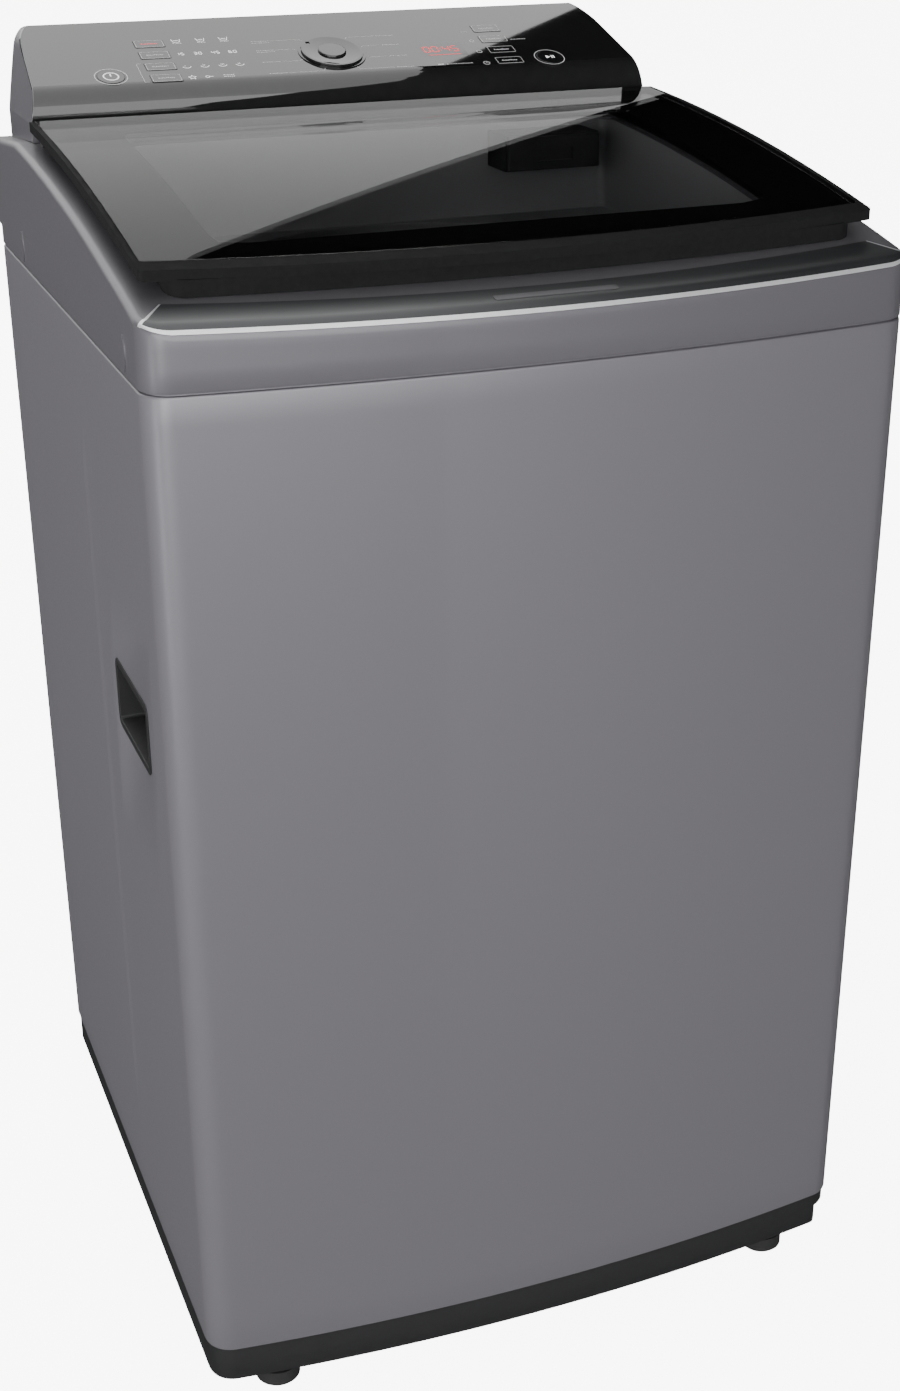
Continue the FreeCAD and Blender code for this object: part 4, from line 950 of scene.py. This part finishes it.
ICON_COLUMNS = {54.0: (-124.0, -104.0, -85.0), 33.0: (-126.0, -111.5, -97.0, -83.0),
                12.0: (-126.0, -111.5, -97.0, -83.0), -6.0: (-126.0, -112.5, -97.5)}    # v: every u
DIAL_AT, DIAL_R = (-3.5, 22.5), 27.6
DIAL_ROWS = (48.0, 32.0, 12.5, -6.5)
DIAL_LINE_END, DIAL_TEXT_U = {-1: -48.0, 1: 40.0}, {-1: -64.0, 1: 42.5}
OPTION_U = {"left": -146.5, "right": 141.0}
OPTION_V, OPTION_PITCH, OPTION_W, OPTION_H = -5.0, 19.0, 24.0, 12.0
BRACKET_U, BRACKET_V, BRACKET_DEPTH = -164.5, (-10.0, 20.0), 3.5
ROUND_BUTTONS = {"power_button": (-188.5, 1.5), "start_button": (177.5, -3.0)}
ROUND_RING_R = 12.6
DISPLAY_AT = (90.0, 19.0)
LAMP_U, CLOCK_AT = 121.0, (120.0, -7.4)


def make_option_icons():
    """Rows of small signs left of the knob."""
    rows = list(ICON_COLUMNS)
    parts = []
    for u in ICON_COLUMNS[rows[0]]:
        parts += [tub_icon(u, rows[0] + 1.5), label(u - 3.5, rows[0] - 3.0, 7.0, 1.0)]
    for text, u in zip(("15", "30", "45", "60"), ICON_COLUMNS[rows[1]]):
        parts.append(number(text, u - 3.4, rows[1], 3.8, 2.3, 0.7))
    for k, u in enumerate(ICON_COLUMNS[rows[2]]):
        parts.append(bowl_icon(u, rows[2], k + 1 if k < 3 else 2))
    u = ICON_COLUMNS[rows[3]]
    v = rows[3]
    parts += [star_icon(u[0], v), arc(u[1] - 1.4, v, 1.5, 0.55, steps=16),
              bar(u[1] + 0.2, v, u[1] + 3.4, v, 0.55), label(u[2] - 3.5, v + 1.3, 8.0, 1.2),
              label(u[2] - 3.5, v - 1.3, 8.0, 1.2)]
    return parts


def make_dial_marks():
    """Lines from the knob to the programme labels on both sides."""
    parts = []
    u0, v0 = DIAL_AT
    for k, v in enumerate(DIAL_ROWS):
        for side in (-1, 1):
            rise = max(-DIAL_R, min(DIAL_R, (v - v0) * 0.86))
            start = u0 + side * (math.sqrt(DIAL_R ** 2 - rise ** 2) + 1.6)
            parts.append(bar(start, v0 + rise, start + side * 1.6, v, 0.35))
            parts.append(bar(start + side * 1.6, v, DIAL_LINE_END[side], v, 0.35))
            text_u = DIAL_TEXT_U[side]
            parts.append(label(text_u, v, 14.0))
            if side < 0 and k < 2:
                parts.append(label(text_u, v - 2.8, 15.0))
    return parts


def make_right_marks():
    """Two lamps, a clock and labels round the display."""
    u, v = CLOCK_AT
    return [label(LAMP_U - 4.0, 47.6, 6.0), arc(LAMP_U, 31.4, 1.8, 0.5, steps=16),
            arc(LAMP_U, 12.7, 2.2, 0.5, steps=16), bar(LAMP_U, 12.7, LAMP_U, 14.2, 0.4),
            arc(u, v, 2.6, 0.5, steps=20), bar(u, v, u, v + 1.6, 0.4), bar(u, v, u + 1.4, v, 0.4),
            label(86.0, -6.0, 22.0), bar(78.0, -6.0, 83.0, -6.0, 1.8), label(156.0, 31.0, 12.0)]


def make_button_marks():
    """Outlines and labels on the option buttons, signs on the round buttons and rings round them."""
    cap = BUTTON_PROUD + MARK_PROUD
    for side, u in OPTION_U.items():
        for row in range(4):
            name = "option_button_%s_%d" % (side, row + 1)
            v = OPTION_V + OPTION_PITCH * row
            outline = box_frame(u, v, OPTION_W - 1.4, OPTION_H - 1.4, 0.35)
            paint = LED_RED if side == "left" and row == 3 else INK_DIM_PAINTED_GLOW
            marking(name + "_outline", [outline], name, INK_DIM_PAINTED_GLOW, cap)
            marking(name + "_print", [label(u - 6.5, v, 12.5, 2.6)], name, paint, cap)
    foot, head = BRACKET_V
    inner_u = BRACKET_U + BRACKET_DEPTH
    bracket = [(inner_u, head), (BRACKET_U, head), (BRACKET_U, foot), (inner_u, foot)]
    marking("option_bracket", [path_strokes(bracket, 0.4)], "root", INK_DIM_PAINTED_GLOW)
    u, v = ROUND_BUTTONS["power_button"]
    power = [arc(u, v, 5.8, 1.0), bar(u, v, u, v + 4.2, 1.0)]
    marking("power_print", power, "power_button", INK_PAINTED_GLOW, cap)
    marking("power_ring", [arc(u, v, ROUND_RING_R, 0.7)], "root", INK_DIM_PAINTED_GLOW)
    u, v = ROUND_BUTTONS["start_button"]
    triangle = ([(u - 3.0, v + 2.4), (u - 3.0, v - 2.4), (u + 0.8, v)], [(0, 1, 2)])
    start = [triangle] + [bar(u + side, v - 2.2, u + side, v + 2.2, 0.9) for side in (2.0, 3.8)]
    marking("start_print", start, "start_button", INK_PAINTED_GLOW, cap)
    marking("start_ring", [arc(u, v, ROUND_RING_R, 0.5)], "root", INK_DIM_PAINTED_GLOW)


def make_console_marks():
    marking("panel_icons", make_option_icons(), "root", INK_PAINTED_GLOW)
    marking("dial_marks", make_dial_marks(), "root", INK_DIM_PAINTED_GLOW)
    marking("right_marks", make_right_marks(), "root", INK_DIM_PAINTED_GLOW)
    u, v = DISPLAY_AT
    figures = number("00:45", u - 15.5, v + 1.0, 9.0, 4.9, 1.1, 7.4)
    underline = bar(u - 14.0, v - 8.6, u + 14.0, v - 8.6, 0.8)
    marking("display_figures", [figures], "root", LED_RED, 0.05)
    marking("display_underline", [underline], "root", LED_RED, 0.05)
    make_button_marks()


def fascia_edge():
    """Path round the fascia's edge: up the left side, across the top and down the right."""
    low_z, high_z = FASCIA_Z
    low_half, high_half = FASCIA_HALF_W
    front, knee_r, corner_r = FASCIA_FRONT_Y, FASCIA_KNEE_R, FASCIA_CORNER_R
    turn_v = PANEL_TOP - 30.0
    run_in = knee_r * math.tan((math.pi / 2 - PANEL_TILT) / 2)
    corner_v = (front - PANEL_Y) / math.cos(PANEL_TILT)
    nose_z = on_panel(0, corner_v)[2] - run_in
    side = [(front, z) for z in spaced(span("console_fascia", 2)[0], nose_z, 4)]
    for angle in spaced(math.pi, math.pi / 2 + PANEL_TILT, 12)[1:]:
        side.append((front + knee_r + knee_r * math.cos(angle), nose_z + knee_r * math.sin(angle)))
    side += [on_panel(0, v)[1:] for v in spaced(corner_v + run_in, turn_v, 4)[1:]]
    side += [on_panel(0, v)[1:] for v in spaced(turn_v, PANEL_TOP, 14)[1:]]
    lean = (high_half - low_half) / (high_z - low_z)

    def half(z):
        """Half width at a height, with the round top corner."""
        straight = low_half + max(0.0, z - low_z) * lean
        centre_x = high_half - corner_r * 0.80
        rise = z - (high_z - corner_r)
        if rise <= 0:
            return straight
        return min(straight, centre_x + math.sqrt(max(0.0, corner_r ** 2 - rise ** 2)) * 0.98)

    left = [(-half(z), y, z) for y, z in side]
    top = [(x, side[-1][0], side[-1][1]) for x in spaced(left[-1][0], -left[-1][0], 30)[1:-1]]
    return left + top + [(-x, y, z) for x, y, z in reversed(left)]


def tube(path, radius, sides):
    """Rings of a round section along a path."""
    rings = []
    normal = Vector((0, 0, 1))
    for k, point in enumerate(path):
        before, after = Vector(path[max(k - 1, 0)]), Vector(path[min(k + 1, len(path) - 1)])
        along = (after - before).normalized()
        normal = (normal - along * normal.dot(along)).normalized()
        across = along.cross(normal)
        ring = []
        for j in range(sides):
            a = 2 * math.pi * j / sides
            offset = normal * radius * math.cos(a) + across * radius * math.sin(a)
            ring.append(tuple(Vector(point) + offset))
        rings.append(ring)
    return loft(rings)


def make_edge_line():
    """Thin metal line along the fascia's edge."""
    path = [(x, y + 1.4, z - 0.4) for x, y, z in fascia_edge()]
    points, faces = tube(path, 0.6, 8)
    make_piece("fascia_edge_line", points, faces, "root", [EDGE_METAL], sharp=80)


# ---------------------------------------------------------------- springs

def make_springs():
    """Four coil springs round the suspension rods."""
    low, high = span("suspension_springs", 2)
    xs, ys = span("suspension_springs", 0), span("suspension_springs", 1)
    parts = []
    steps = 16
    for x in (xs[0] + COIL_OUTER_R, xs[1] - COIL_OUTER_R):
        for y in (ys[0] + COIL_OUTER_R, ys[1] - COIL_OUTER_R):
            path = []
            for k in range(COIL_TURNS * steps + 1):
                a = 2 * math.pi * k / steps
                z = low + WIRE_R + (high - low - 2 * WIRE_R) * k / (COIL_TURNS * steps)
                path.append((x + COIL_R * math.cos(a), y + COIL_R * math.sin(a), z))
            parts.append(tube(path, WIRE_R, 6))
    points, faces = joined(parts)
    coils = make_piece("suspension_coils", points, faces, None, [LOOKS["zinc_steel"]],
                       ["suspension_springs"], sharp=80)
    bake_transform(coils)


# ---------------------------------------------------------------- build

LOOKS = slot_materials()
PRINT_BLACK = material("print_black", (0.05, 0.05, 0.0505), 0.95, grain=(200.0, 0.2),
                       Specular_IOR_Level=0.0)
# The printed inks glow: painted brightness, since print gives no light of its own.
INK_PAINTED_GLOW = ink("ink", (0.9, 0.9, 0.9), 1.5)
INK_DIM_PAINTED_GLOW = ink("ink_dim_painted_glow", (0.6, 0.6, 0.6), 0.8)
# Pale colour of the trim's rounded edge and ends: a painted highlight.
TRIM_EDGE_PAINTED_HIGHLIGHT = material("trim_edge_painted_highlight", (0.86, 0.86, 0.88), 0.3, 0.3, grain=(250.0, 0.05),
                     bump=(900.0, 0.03), stretch=BRUSHED)
LID_BLACK = material("lid_black", (0.019, 0.019, 0.0195), 0.6, grain=(300.0, 0.2),
                     Specular_IOR_Level=0.02)
EDGE_METAL = material("edge_metal", (0.12, 0.12, 0.125), 0.35, 1.0, grain=(400.0, 0.05))
BADGE_PLATE = material("badge_plate", (0.10, 0.10, 0.105), 0.42, 0.8, grain=(500.0, 0.1),
                       stretch=(0.05, 1, 1))
LED_RED = ink("led_red", (0.75, 0.05, 0.06), 1.6)

make_camera()
make_world()
make_lights()
make_floor()
make_reflections()

for name, node in NODES.items():
    node.data.materials.clear()
    node.data.materials.append(LOOKS[SLOT_OF[name]])

NODES["front_badge"].data.materials[0] = BADGE_PLATE

make_cabinet()
make_base_skirt()
make_top_cover()
make_trim()
make_lid()
make_console_marks()
make_edge_line()
make_springs()
for name in ("side_handles", "well_liner", "base_frame"):
    softened(name)
for name in ("detergent_drawer", "dispenser_housing"):
    softened(name).data.materials[0] = LOOKS["black_plastic"]
